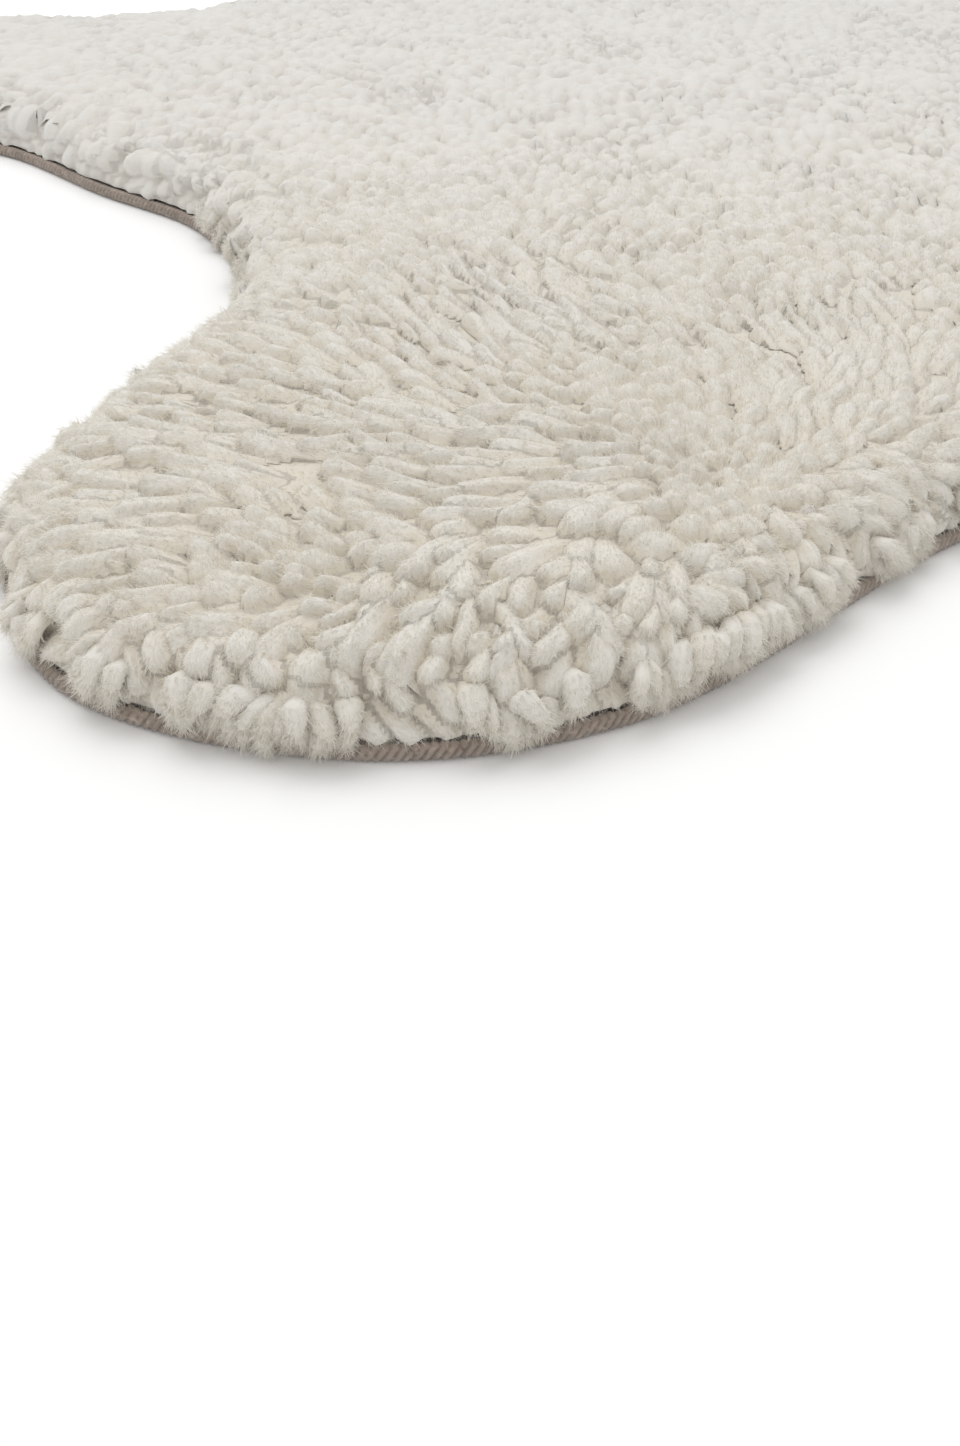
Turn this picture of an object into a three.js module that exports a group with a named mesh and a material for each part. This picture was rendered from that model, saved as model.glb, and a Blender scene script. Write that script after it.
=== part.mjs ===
// An animal-shaped rug for a child's room, lying flat on the floor.
// Its outline is that of a hide: a short head, four legs and a plain rump.
// Millimetres, +Z up. The origin is on the floor under the middle of the rug, and the head end points to -X.
// Its pieces: the flat base cloth, the thread serged over the cloth's edge, and the wool pile,
// which is a lumpy slab with hanging locks all round its rim.
import * as THREE from "three";

// Driving dimensions
const CLOTH_THICKNESS = 2.5;
const SERGING_WIDTH = 3.2; // across the thread that is wrapped over the cloth's edge
const SERGING_HEIGHT = 4;
const SEAM_REACH = 0.6; // from the rim out to the outside of the serging
const PILE_TOP = 25; // height of the wool above the floor
const SEATING_GAP = 0.3; // between pieces that touch

// Locks of wool at the rim, one to each step of the outline
const RIM_STEPS = 300;
const LOCK_REACH = { least: 2.4, most: 5.2 }; // past the rim, at the tip of a lock
const LOCK_TIP_HEIGHT = { least: 1.6, most: 4.2 };
const LOCK_BELLY_HEIGHT = 10;
const PARTING_REACH = 1.2; // how far past the rim the wool stands between two locks
const PARTING_HEIGHT = 5.2;
const SHOULDER_HEIGHT = 19; // where the hanging locks turn over into the top of the pile
const SHOULDER_REACH = -2;

// Lumps of the pile's top
const LUMP_HEIGHT = 1.6;
const LUMP_PITCH = { alongX: 96, alongY: 84 };
const LUMP_DRIFT = 1.5; // how far the rows of lumps wander, in radians

// The rim of the rug as the eye follows it along the floor, from the head round by the near legs
const RIM = [
  { at: "tip of the head", x: -574, y: 8 },
  { at: "cheek", x: -557, y: -32 },
  { at: "jaw", x: -516, y: -47 },
  { at: "neck", x: -471, y: -54 },
  { at: "neck", x: -416, y: -93 },
  { at: "shoulder", x: -367, y: -127 },
  { at: "bay before the fore leg", x: -331, y: -205 },
  { at: "fore leg, front side", x: -345, y: -276 },
  { at: "fore leg, front side", x: -352, y: -338 },
  { at: "fore foot", x: -322, y: -388 },
  { at: "fore foot", x: -257, y: -402 },
  { at: "fore foot", x: -201, y: -382 },
  { at: "fore leg, back side", x: -127, y: -300 },
  { at: "belly", x: -52, y: -243 },
  { at: "belly", x: 60, y: -226 },
  { at: "belly", x: 158, y: -243 },
  { at: "hind leg, front side", x: 245, y: -307 },
  { at: "hind foot", x: 328, y: -380 },
  { at: "hind foot", x: 405, y: -395 },
  { at: "hind foot", x: 462, y: -362 },
  { at: "hind leg, back side", x: 470, y: -292 },
  { at: "bay behind the hind leg", x: 466, y: -208 },
  { at: "rump", x: 512, y: -128 },
  { at: "rump", x: 560, y: -64 },
  { at: "tail", x: 575, y: 0 },
  { at: "rump", x: 562, y: 66 },
  { at: "rump", x: 514, y: 132 },
  { at: "bay behind the hind leg", x: 470, y: 212 },
  { at: "hind leg, back side", x: 474, y: 296 },
  { at: "hind foot", x: 462, y: 366 },
  { at: "hind foot", x: 402, y: 400 },
  { at: "hind foot", x: 326, y: 383 },
  { at: "hind leg, front side", x: 243, y: 310 },
  { at: "belly", x: 156, y: 247 },
  { at: "belly", x: 60, y: 230 },
  { at: "belly", x: -54, y: 248 },
  { at: "fore leg, back side", x: -130, y: 304 },
  { at: "fore foot", x: -205, y: 384 },
  { at: "fore foot", x: -262, y: 404 },
  { at: "fore foot", x: -328, y: 392 },
  { at: "fore leg, front side", x: -358, y: 342 },
  { at: "fore leg, front side", x: -356, y: 276 },
  { at: "bay before the fore leg", x: -366, y: 208 },
  { at: "shoulder", x: -408, y: 152 },
  { at: "neck", x: -444, y: 102 },
  { at: "jaw", x: -514, y: 80 },
  { at: "cheek", x: -557, y: 54 },
];

const WOOL_CREAM = 0xe6e1d3;
const CLOTH_CREAM = 0xcfc8b8;
const SERGING_TAUPE = 0x8f8378;

// A repeatable scatter between 0 and 1 for the step with this number
function scatter(step, seed) {
  const wave = Math.sin(step * 12.9898 + seed * 78.233) * 43758.5453;
  return wave - Math.floor(wave);
}

function between(range, share) {
  return range.least + (range.most - range.least) * share;
}

// Evenly spaced points of the rim, each with its outward normal
function rimStations() {
  const corners = RIM.map(({ x, y }) => new THREE.Vector3(x, y, 0));
  const curve = new THREE.CatmullRomCurve3(corners, true, "centripetal");
  curve.arcLengthDivisions = RIM_STEPS * 8;
  const points = curve.getSpacedPoints(RIM_STEPS).slice(0, RIM_STEPS);
  return points.map((point, step) => {
    const before = points[(step + RIM_STEPS - 1) % RIM_STEPS];
    const after = points[(step + 1) % RIM_STEPS];
    const along = after.clone().sub(before).normalize();
    return { point, normal: new THREE.Vector3(along.y, -along.x, 0) };
  });
}

const STATIONS = rimStations();

function offsetPoint(station, offset) {
  return station.point.clone().addScaledVector(station.normal, offset);
}

// The same point half a step further round the rim
function stationAfter(step) {
  const here = STATIONS[step];
  const next = STATIONS[(step + 1) % RIM_STEPS];
  return {
    point: here.point.clone().add(next.point).multiplyScalar(0.5),
    normal: here.normal.clone().add(next.normal).normalize(),
  };
}

// A closed outline at one distance from the rim, for a flat piece
function outlineAt(offset, OutlineClass) {
  const corners = STATIONS.map((station) => {
    const { x, y } = offsetPoint(station, offset);
    return new THREE.Vector2(x, y);
  });
  return new OutlineClass(corners);
}

function extrudeFlat(shape, thickness) {
  return new THREE.ExtrudeGeometry(shape, { depth: thickness, bevelEnabled: false });
}

// Base cloth: one flat sheet with the rug's outline
const SERGING_OUTSIDE = SEAM_REACH;
const SERGING_INSIDE = SERGING_OUTSIDE - SERGING_WIDTH;
const CLOTH_EDGE = SERGING_INSIDE - SEATING_GAP;

function baseCloth() {
  return extrudeFlat(outlineAt(CLOTH_EDGE, THREE.Shape), CLOTH_THICKNESS);
}

// Serged edge: the band of wrapped thread round the cloth
function sergedEdge() {
  const band = outlineAt(SERGING_OUTSIDE, THREE.Shape);
  band.holes.push(outlineAt(SERGING_INSIDE, THREE.Path));
  return extrudeFlat(band, SERGING_HEIGHT);
}

// Height of the pile's top, with its soft lumps in wandering rows
function pileHeight(x, y) {
  const alongX = (x / LUMP_PITCH.alongX) * 2 * Math.PI;
  const alongY = (y / LUMP_PITCH.alongY) * 2 * Math.PI;
  const rowsAlongX = Math.sin(alongX + LUMP_DRIFT * Math.sin(alongY / 3));
  const rowsAlongY = Math.sin(alongY + LUMP_DRIFT * Math.sin(alongX / 3));
  return PILE_TOP + (LUMP_HEIGHT / 2) * ((rowsAlongX + rowsAlongY) / 2 - 1);
}

function onTop(x, y) {
  return new THREE.Vector3(x, y, pileHeight(x, y));
}

// A ring of the pile at one distance from the rim and one height
function flatRing(offset, height) {
  return STATIONS.map((station) => offsetPoint(station, offset).setZ(height));
}

// A ring with two points to each step: the middle of a lock, then the parting after it
function lockRing(lockPoint, partingPoint) {
  return STATIONS.flatMap((station, step) => [
    lockPoint(station, step),
    partingPoint(stationAfter(step), step),
  ]);
}

function lockTips() {
  return lockRing(
    (station, step) =>
      offsetPoint(station, between(LOCK_REACH, scatter(step, 1))).setZ(
        between(LOCK_TIP_HEIGHT, scatter(step, 2)),
      ),
    (station) => offsetPoint(station, PARTING_REACH).setZ(PARTING_HEIGHT),
  );
}

function lockBellies() {
  return lockRing(
    (station, step) =>
      offsetPoint(station, between(LOCK_REACH, scatter(step, 3))).setZ(
        LOCK_BELLY_HEIGHT + scatter(step, 4),
      ),
    (station, step) => offsetPoint(station, PARTING_REACH).setZ(LOCK_BELLY_HEIGHT + scatter(step, 5)),
  );
}

// Rings of the top, from the shoulder in to a short ridge along the middle of the rug
const TOP_EDGE = -16; // distance from the rim at which the top is fully up
const RIDGE_LENGTH = 0.2; // of the rug's length, so that the rings stay evenly apart along it
const TOP_RINGS = [
  { share: 0.92, keepEvery: 2 },
  { share: 0.84, keepEvery: 2 },
  { share: 0.76, keepEvery: 2 },
  { share: 0.68, keepEvery: 2 },
  { share: 0.6, keepEvery: 2 },
  { share: 0.52, keepEvery: 2 },
  { share: 0.43, keepEvery: 4 },
  { share: 0.34, keepEvery: 4 },
  { share: 0.25, keepEvery: 4 },
  { share: 0.16, keepEvery: 4 },
  { share: 0.07, keepEvery: 12 },
];

function topRing({ share, keepEvery }) {
  const lengthShare = RIDGE_LENGTH + (1 - RIDGE_LENGTH) * share;
  return flatRing(TOP_EDGE, 0)
    .filter((_, step) => step % keepEvery === 0)
    .map(({ x, y }) => onTop(x * lengthShare, y * share));
}

// Joins a list of rings into one closed skin, with a point at the middle of its first and last ring
function skinOver(rings, firstMiddle, lastMiddle) {
  const positions = [];
  const indices = [];
  const place = (point) => positions.push(point.x, point.y, point.z) / 3 - 1;
  const placed = rings.map((ring) => ring.map(place));

  const fan = (ring, middle, outwards) =>
    ring.forEach((corner, i) => {
      const next = ring[(i + 1) % ring.length];
      indices.push(...(outwards ? [corner, next, middle] : [next, corner, middle]));
    });

  // Walks both rings at once and steps along whichever one is behind
  const strip = (outer, inner) => {
    let i = 0;
    let j = 0;
    while (i < outer.length || j < inner.length) {
      const a = outer[i % outer.length];
      const b = inner[j % inner.length];
      if (j >= inner.length || (i < outer.length && (i + 1) * inner.length <= (j + 1) * outer.length)) {
        indices.push(a, outer[(i + 1) % outer.length], b);
        i += 1;
      } else {
        indices.push(a, inner[(j + 1) % inner.length], b);
        j += 1;
      }
    }
  };

  fan(placed[0], place(firstMiddle), false);
  for (let ring = 1; ring < placed.length; ring += 1) strip(placed[ring - 1], placed[ring]);
  fan(placed[placed.length - 1], place(lastMiddle), true);

  const geometry = new THREE.BufferGeometry();
  geometry.setAttribute("position", new THREE.Float32BufferAttribute(positions, 3));
  geometry.setIndex(indices);
  geometry.computeVertexNormals();
  return geometry;
}

// Wool pile: it seats on the cloth and over the serging, and its locks hang down outside them
function woolPile() {
  const seatOnCloth = CLOTH_THICKNESS + SEATING_GAP;
  const seatOnSerging = SERGING_HEIGHT + SEATING_GAP;
  const rings = [
    flatRing(CLOTH_EDGE, seatOnCloth),
    flatRing(CLOTH_EDGE, seatOnSerging),
    flatRing(SERGING_OUTSIDE + SEATING_GAP, seatOnSerging),
    lockTips(),
    lockBellies(),
    flatRing(SHOULDER_REACH, SHOULDER_HEIGHT),
    flatRing(TOP_EDGE, 0).map(({ x, y }) => onTop(x, y)),
    ...TOP_RINGS.map(topRing),
  ];
  return skinOver(rings, new THREE.Vector3(0, 0, seatOnCloth), onTop(0, 0));
}

function piece(name, geometry, color, roughness) {
  const material = new THREE.MeshStandardMaterial({ color, roughness, metalness: 0 });
  const mesh = new THREE.Mesh(geometry, material);
  mesh.name = name;
  return mesh;
}

const rug = new THREE.Group();
rug.add(
  piece("base_cloth", baseCloth(), CLOTH_CREAM, 0.95),
  piece("edge_serging", sergedEdge(), SERGING_TAUPE, 0.85),
  piece("wool_pile", woolPile(), WOOL_CREAM, 1),
);

// The middle of the rug's box stands over the origin
const middle = new THREE.Box3().setFromObject(rug).getCenter(new THREE.Vector3());
rug.position.set(-middle.x, -middle.y, 0);

export default rug;
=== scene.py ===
"""Dresses a flat, animal-shaped rug: the skin of its wool pile, raised over each lock, the free tufts
and loose fibres in front, the serged edge and the backing cloth, with a plain stage. Lengths are in
metres, in the frame of the CAD model."""

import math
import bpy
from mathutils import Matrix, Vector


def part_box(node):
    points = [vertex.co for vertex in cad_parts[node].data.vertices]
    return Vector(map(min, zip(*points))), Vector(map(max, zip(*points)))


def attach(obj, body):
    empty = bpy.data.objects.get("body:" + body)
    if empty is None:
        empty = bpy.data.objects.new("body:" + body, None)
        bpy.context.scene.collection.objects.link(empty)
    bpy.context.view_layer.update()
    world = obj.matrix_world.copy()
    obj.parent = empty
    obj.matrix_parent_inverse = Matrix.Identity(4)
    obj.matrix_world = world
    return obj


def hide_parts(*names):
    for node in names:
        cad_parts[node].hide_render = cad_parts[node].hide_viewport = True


bl_info = {
    "name": "Animal-Shaped Wool Rug",
    "version": (1, 0, 0),
    "blender": (4, 5, 0),
    "location": "View3D > Sidebar > Rug",
    "description": "Makes the wool pile, serged edge, backing cloth and stage of an animal-shaped rug",
    "category": "Object",
}

import bpy
import numpy as np
from bpy.props import FloatProperty, FloatVectorProperty, IntProperty, PointerProperty
from bpy.types import Operator, Panel, PropertyGroup
from mathutils.kdtree import KDTree

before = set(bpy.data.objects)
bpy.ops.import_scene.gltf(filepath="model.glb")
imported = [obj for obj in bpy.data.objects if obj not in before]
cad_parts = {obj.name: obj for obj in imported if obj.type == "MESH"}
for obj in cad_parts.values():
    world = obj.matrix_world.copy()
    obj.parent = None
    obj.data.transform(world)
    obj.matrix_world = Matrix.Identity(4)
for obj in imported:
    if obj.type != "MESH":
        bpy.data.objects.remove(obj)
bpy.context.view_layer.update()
BODY = "root"
MM = 0.001

# Sizes that the frame gives

CLOTH_LOW, CLOTH_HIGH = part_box("base_cloth")
_, SERGING_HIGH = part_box("edge_serging")
CLOTH_THICKNESS = CLOTH_HIGH.z
SERGING_HEIGHT = SERGING_HIGH.z
SERGING_REACH = SERGING_HIGH.x - CLOTH_HIGH.x


# Tables of the wool


def table(columns, rows):
    """A short table, as one array for each named column."""
    return dict(zip(columns, np.array(rows).T))


# Rows of free tufts that hang over the edge. Places are those of the tips: how far outside the
# cloth's edge, and how high. The lean is from upright, at the tip. The bend is how far behind the
# tip the tuft turns down to its root. A tuft is left out where the hem swells past the limit.
TUFT_ROWS = table(
    ("outside", "height", "lean", "bend", "pitch", "radius", "head", "taper", "facing", "hem limit"),
    [
        (3.3 * MM, 4.5 * MM, 2.85, 13.0 * MM, 3.0 * MM, 2.4 * MM, 2.0, 0.55, 1.40, 0.4),
        (4.5 * MM, 8.0 * MM, 2.60, 13.0 * MM, 4.8 * MM, 2.8 * MM, 2.0, 0.60, 1.25, 1.1),
    ],
)

# How the wool lies, by how far a tip is from the edge of the cloth. The first lean is away from the
# middle of the rug, the second whichever way that patch has been brushed.
LIE = table(
    ("depth", "outward lean", "brushed lean"),
    [
        (0.0 * MM, 1.15, 0.10),
        (14.0 * MM, 0.85, 0.20),
        (25.0 * MM, 0.66, 0.26),
        (45.0 * MM, 0.48, 0.32),
        (80.0 * MM, 0.34, 0.36),
        (150.0 * MM, 0.14, 0.42),
        (250.0 * MM, 0.06, 0.42),
    ],
)

# How high the tips reach, by how far they are from the edge of the cloth
SHOULDER = table(
    ("depth", "height"),
    [
        (0.0 * MM, 13.5 * MM),
        (3.0 * MM, 17.3 * MM),
        (5.0 * MM, 19.4 * MM),
        (8.0 * MM, 21.2 * MM),
        (12.0 * MM, 22.4 * MM),
        (20.0 * MM, 23.4 * MM),
        (40.0 * MM, 24.0 * MM),
    ],
)

# The side of the pile, from inside the top over the shoulder and down to the serging
SIDE = table(
    ("outside", "height"),
    [
        (-15.0 * MM, 19.6 * MM),
        (-10.0 * MM, 21.0 * MM),
        (-5.0 * MM, 20.4 * MM),
        (-0.8 * MM, 17.2 * MM),
        (1.8 * MM, 12.2 * MM),
        (3.0 * MM, 7.0 * MM),
        (1.6 * MM, 2.7 * MM),
    ],
)

# Crowns that the wool fans out from, one on each leg
CROWNS = table(
    ("x", "y", "reach"),
    [
        (-168 * MM, -332 * MM, 190 * MM),
        (-168 * MM, 332 * MM, 190 * MM),
        (330 * MM, -300 * MM, 110 * MM),
        (330 * MM, 300 * MM, 110 * MM),
    ],
)
CROWN_LEAN = 1.3
CROWN_QUIET = 28 * MM  # how wide the upright middle of a crown is

# The meshes of the pile. A tuft goes to the first piece that reaches as far from the closest look as
# the tuft stands, and is built with as many sides, and as many rings to its shaft and its head, as
# that piece gives.
TOP_PIECES = ("wool_top_head", "wool_top_shoulder", "wool_top_body", "wool_top_rump")
SIDE_PIECE = "wool_side"
TUFT_PIECES = {
    "hanging_tufts_near": {"within": 0.36, "sides": 12, "shaft": 3, "head": 4},
    "hanging_tufts_far": {"within": 9.0, "sides": 5, "shaft": 1, "head": 2},
}
FIBRE_PIECES = ("loose_fibres_left", "loose_fibres_right")

# What is added to the wool's seed for each thing that chance decides
PATCH_SEEDS = (1, 2)
SWELL_SEED, HEM_SEED, FIBRE_SEED, TOP_SWELL_SEED = 5, 6, 7, 8
SIDE_SEED, SLANT_SEED, SIDE_SWELL_SEED, TUFT_SEED = 9, 10, 11, 12
SERGING_SEED = 3

# The meshes are finest on the foot that is looked at from closest by
FINE_X = (-360 * MM, -130 * MM)
FINE_Y = (-412 * MM, -270 * MM)
FINE_EDGE = 250 * MM  # how far the fine part of the side reaches either way from the closest look
FINEST = 0.85 * MM
COARSEST = 2.9 * MM
GROWTH = 1.012  # how much wider each step of the mesh is than the last, beyond the fine part


class WoolSettings(PropertyGroup):
    """Sizes and colours of the wool pile."""

    pitch: FloatProperty(
        name="Lock width",
        description="Mean thickness of a lock, which sets how far apart they stand",
        default=6.4 * MM,
        min=4 * MM,
        subtype="DISTANCE",
        unit="LENGTH",
    )
    size_scatter: FloatProperty(
        name="Size scatter",
        description="How far locks differ in thickness, as a share of it",
        default=0.19,
        min=0.0,
        max=0.5,
        subtype="FACTOR",
    )
    lie_scatter: FloatProperty(
        name="Lie scatter",
        description="How far neighbouring locks differ in the way they lie",
        default=0.3,
        min=0.0,
        max=1.0,
        subtype="ANGLE",
        unit="ROTATION",
    )
    patch_size: FloatProperty(
        name="Patch size",
        description="Size of the patches that are brushed one way",
        default=150 * MM,
        min=20 * MM,
        subtype="DISTANCE",
        unit="LENGTH",
    )
    tip_colour: FloatVectorProperty(
        name="Tip colour",
        description="Colour of the wool at the heads of the locks",
        default=(0.750, 0.726, 0.674),
        min=0.0,
        max=1.0,
        size=3,
        subtype="COLOR",
    )
    # Painted shade: the root colour is the darker, warmer colour that the wool is painted deep between the
    # locks, partly for its yellower roots and partly as painted shade and warm bounced light.
    root_and_shade_colour: FloatVectorProperty(
        name="Root colour",
        description="Colour of the wool between the locks",
        default=(0.690, 0.632, 0.535),
        min=0.0,
        max=1.0,
        size=3,
        subtype="COLOR",
    )
    loose_fibres: IntProperty(
        name="Loose fibres",
        description="Number of single fibres that stand off the locks in front",
        default=360000,
        min=0,
    )
    fibre_length: FloatProperty(
        name="Fibre length",
        description="Mean length of the fibres that stand off the locks",
        default=1.9 * MM,
        min=0.1 * MM,
        subtype="DISTANCE",
        unit="LENGTH",
    )
    # The groove shade is painted shade: the depth over which the wool is painted from the tip colour to the
    # root colour.
    groove_shade: FloatProperty(
        name="Groove shade",
        description="How deep between the locks the wool has fully turned to the root colour",
        default=3.4 * MM,
        min=MM,
        subtype="DISTANCE",
        unit="LENGTH",
    )
    seed: IntProperty(
        name="Seed",
        description="Number that the scatter of the locks starts from",
        default=11,
        min=0,
    )


class EdgeSettings(PropertyGroup):
    """Sizes and colours of the serged edge and the backing cloth."""

    rib_pitch: FloatProperty(
        name="Rib pitch",
        description="Distance between neighbouring wraps of the serging thread",
        default=1.95 * MM,
        min=MM,
        subtype="DISTANCE",
        unit="LENGTH",
    )
    rib_depth: FloatProperty(
        name="Rib depth",
        description="How deep the thread sinks between two wraps",
        default=0.75 * MM,
        min=0.0,
        subtype="DISTANCE",
        unit="LENGTH",
    )
    thread_colour: FloatVectorProperty(
        name="Thread colour",
        description="Colour of the serging thread",
        default=(0.36, 0.295, 0.245),
        min=0.0,
        max=1.0,
        size=3,
        subtype="COLOR",
    )
    cloth_colour: FloatVectorProperty(
        name="Cloth colour",
        description="Colour of the backing cloth",
        default=(0.62, 0.56, 0.46),
        min=0.0,
        max=1.0,
        size=3,
        subtype="COLOR",
    )


class StageSettings(PropertyGroup):
    """The camera, the lights and the floor."""

    camera_place: FloatVectorProperty(
        name="Camera place",
        description="Where the camera stands, in the frame of the rug",
        default=(-200.1 * MM, -626.8 * MM, 191.3 * MM),
        size=3,
        subtype="TRANSLATION",
        unit="LENGTH",
    )
    camera_pitch: FloatProperty(
        name="Camera pitch",
        description="How far the camera looks down",
        default=math.radians(38.31),
        subtype="ANGLE",
        unit="ROTATION",
    )
    camera_turn: FloatProperty(
        name="Camera turn",
        description="How far the camera looks to the left of the rug's width",
        default=math.radians(8.0),
        subtype="ANGLE",
        unit="ROTATION",
    )
    lens: FloatProperty(
        name="Lens",
        description="Focal length of the camera, in millimetres",
        default=37.34,
        min=1.0,
    )
    floor_colour: FloatVectorProperty(
        name="Floor colour",
        description="Colour of the floor",
        default=(0.92, 0.92, 0.915),
        min=0.0,
        max=1.0,
        size=3,
        subtype="COLOR",
    )
    sky_strength: FloatProperty(
        name="Room light",
        description="Strength of the light from all round",
        default=0.86,
        min=0.0,
    )
    lamp_power: FloatProperty(
        name="Soft box power",
        description="Power of the large soft box over the rug",
        default=19.0,
        min=0.0,
        unit="POWER",
    )


# Shader arithmetic


class Value:
    """A socket that gives a number, with the arithmetic that materials are written in."""

    def __init__(self, recipe, socket):
        self.recipe = recipe
        self.socket = socket

    def __add__(self, other):
        return self.recipe.maths("ADD", self, other)

    def __sub__(self, other):
        return self.recipe.maths("SUBTRACT", self, other)

    def __mul__(self, other):
        return self.recipe.maths("MULTIPLY", self, other)

    def __radd__(self, other):
        return self.recipe.maths("ADD", other, self)

    def __rsub__(self, other):
        return self.recipe.maths("SUBTRACT", other, self)

    def __rmul__(self, other):
        return self.recipe.maths("MULTIPLY", other, self)


class Recipe:
    """The node tree of one material."""

    def __init__(self, name):
        self.material = bpy.data.materials.new(name)
        self.material.use_nodes = True
        self.tree = self.material.node_tree
        self.tree.nodes.clear()

    def node(self, kind, settings=None, inputs=None, output=0):
        """One node: its settings are set first, then its sockets, and the named output comes back."""
        made = self.tree.nodes.new(kind)
        for name, setting in (settings or {}).items():
            setattr(made, name, setting)
        for name, value in (inputs or {}).items():
            if isinstance(value, Value):
                self.tree.links.new(value.socket, made.inputs[name])
            else:
                made.inputs[name].default_value = value
        return Value(self, made.outputs[output]) if len(made.outputs) else None

    def maths(self, operation, *values):
        """The result of a Math node."""
        return self.node("ShaderNodeMath", {"operation": operation}, dict(enumerate(values)))

    def attribute(self, name, output="Fac"):
        """What the mesh holds under that name."""
        return self.node("ShaderNodeAttribute", {"attribute_name": name}, output=output)

    def object_place(self):
        """The place on the object, in metres."""
        return self.node("ShaderNodeTexCoord", output="Object")

    def coordinate(self, place, axis):
        """One coordinate of a place."""
        return self.node("ShaderNodeSeparateXYZ", inputs={"Vector": place}, output=axis)

    def noise(self, place, size, detail=2.0, roughness=0.5):
        """Noise between 0 and 1, with features of about that size in metres."""
        inputs = {"Vector": place, "Scale": 1 / size, "Detail": detail, "Roughness": roughness}
        return self.node("ShaderNodeTexNoise", inputs=inputs, output="Fac")

    def ramp_between(self, value, low, high):
        """0 where value is under low and 1 where it is over high, with a smooth step between."""
        inputs = {"Value": value, "From Min": low, "From Max": high}
        return self.node("ShaderNodeMapRange", {"interpolation_type": "SMOOTHSTEP"}, inputs)

    def mix(self, share, first, second):
        """A colour between two, by a share from 0 to 1."""
        inputs = {MIX_FACTOR: share, MIX_FIRST: opaque(first), MIX_SECOND: opaque(second)}
        return self.node("ShaderNodeMix", {"data_type": "RGBA"}, inputs, output=MIX_RESULT)

    def bump(self, height, depth, strength=1.0):
        """The normal of a surface with that much relief."""
        inputs = {"Height": height, "Distance": depth, "Strength": strength}
        return self.node("ShaderNodeBump", inputs=inputs, output="Normal")

    def matt(self, colour, normal, **constants):
        """The material with a matt surface, and with the shader's own constants by name."""
        inputs = {"Base Color": opaque(colour), "Normal": normal}
        inputs.update({name.replace("_", " "): value for name, value in constants.items()})
        return self.surfaced(self.node("ShaderNodeBsdfPrincipled", inputs=inputs, output="BSDF"))

    def surfaced(self, surface):
        """The material with that surface."""
        self.node("ShaderNodeOutputMaterial", inputs={"Surface": surface})
        return self.material


# The sockets of a Mix node that carry colours, which share their names with those for numbers
MIX_FACTOR, MIX_FIRST, MIX_SECOND, MIX_RESULT = 0, 6, 7, 2


def opaque(colour):
    """The colour with an alpha of 1, unless it is a socket."""
    return colour if isinstance(colour, Value) else (*tuple(colour)[:3], 1.0)


def tinted(colour, tint):
    """The colour times a tint, which is one number or one for each channel."""
    return [min(1.0, channel * factor) for channel, factor in zip(colour, np.broadcast_to(tint, 3))]


# Materials

WOOL_STREAK = 0.45 * MM
STREAK_STRETCH = 0.16  # the width of a streak of fibres, as a share of its length
WOOL_FUZZ = 0.9 * MM
SLUB_SIZE = 2.4 * MM
PATCH_TONE_SIZE = 45 * MM
MIDDLE = 0.5  # the middle value of a noise
# Painted shade: down in the grooves the wool is painted towards the darker, warmer root colour, partly for
# its yellower roots and partly as shade.
GROOVE_RAMP = (0.22, 0.95)  # the shelter at which wool starts to turn to the root colour, and has
GROOVE_STREAKS, GROOVE_FUZZ = 0.18, 0.25  # how far streaks and fuzz wander into and out of grooves
WARM_TONE, WARM_PATCHES, WARM_SLUBS = 0.6, 0.6, 0.2  # how much each of them has to do with warmth
WARM_TINT = (1.0, 0.965, 0.88)
WARM_RAMP = (0.5, 1.2)
WARM_SHARE = 0.5
# Painted shade: the wool is painted darker along the low streaks of its fibres, for the shade between
# strands.
STRAND_SHADE_TINT = 0.88
STRAND_SHADE_RAMP = (0.60, 0.35)
STRAND_SHADE_SHARE = 0.3
# Painted shade: the far side of the rug is painted greyer and darker, for the dimmer light that falls
# there.
FAR_SHADE_TINT = (0.86, 0.87, 0.90)
FAR_SHADE_RAMP = (-0.35, 0.30)  # painted shade: the wool is painted greyer between these places across the rug
FAR_SHADE_PATCHES = 0.2
FAR_SHADE_SHARE = 0.9
WOOL_BUMP = 0.28 * MM
LEAST_STREAKS, HANGING_STREAKS, FUZZ_RELIEF = 0.25, 0.5, 0.8  # shares of the bump


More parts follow.
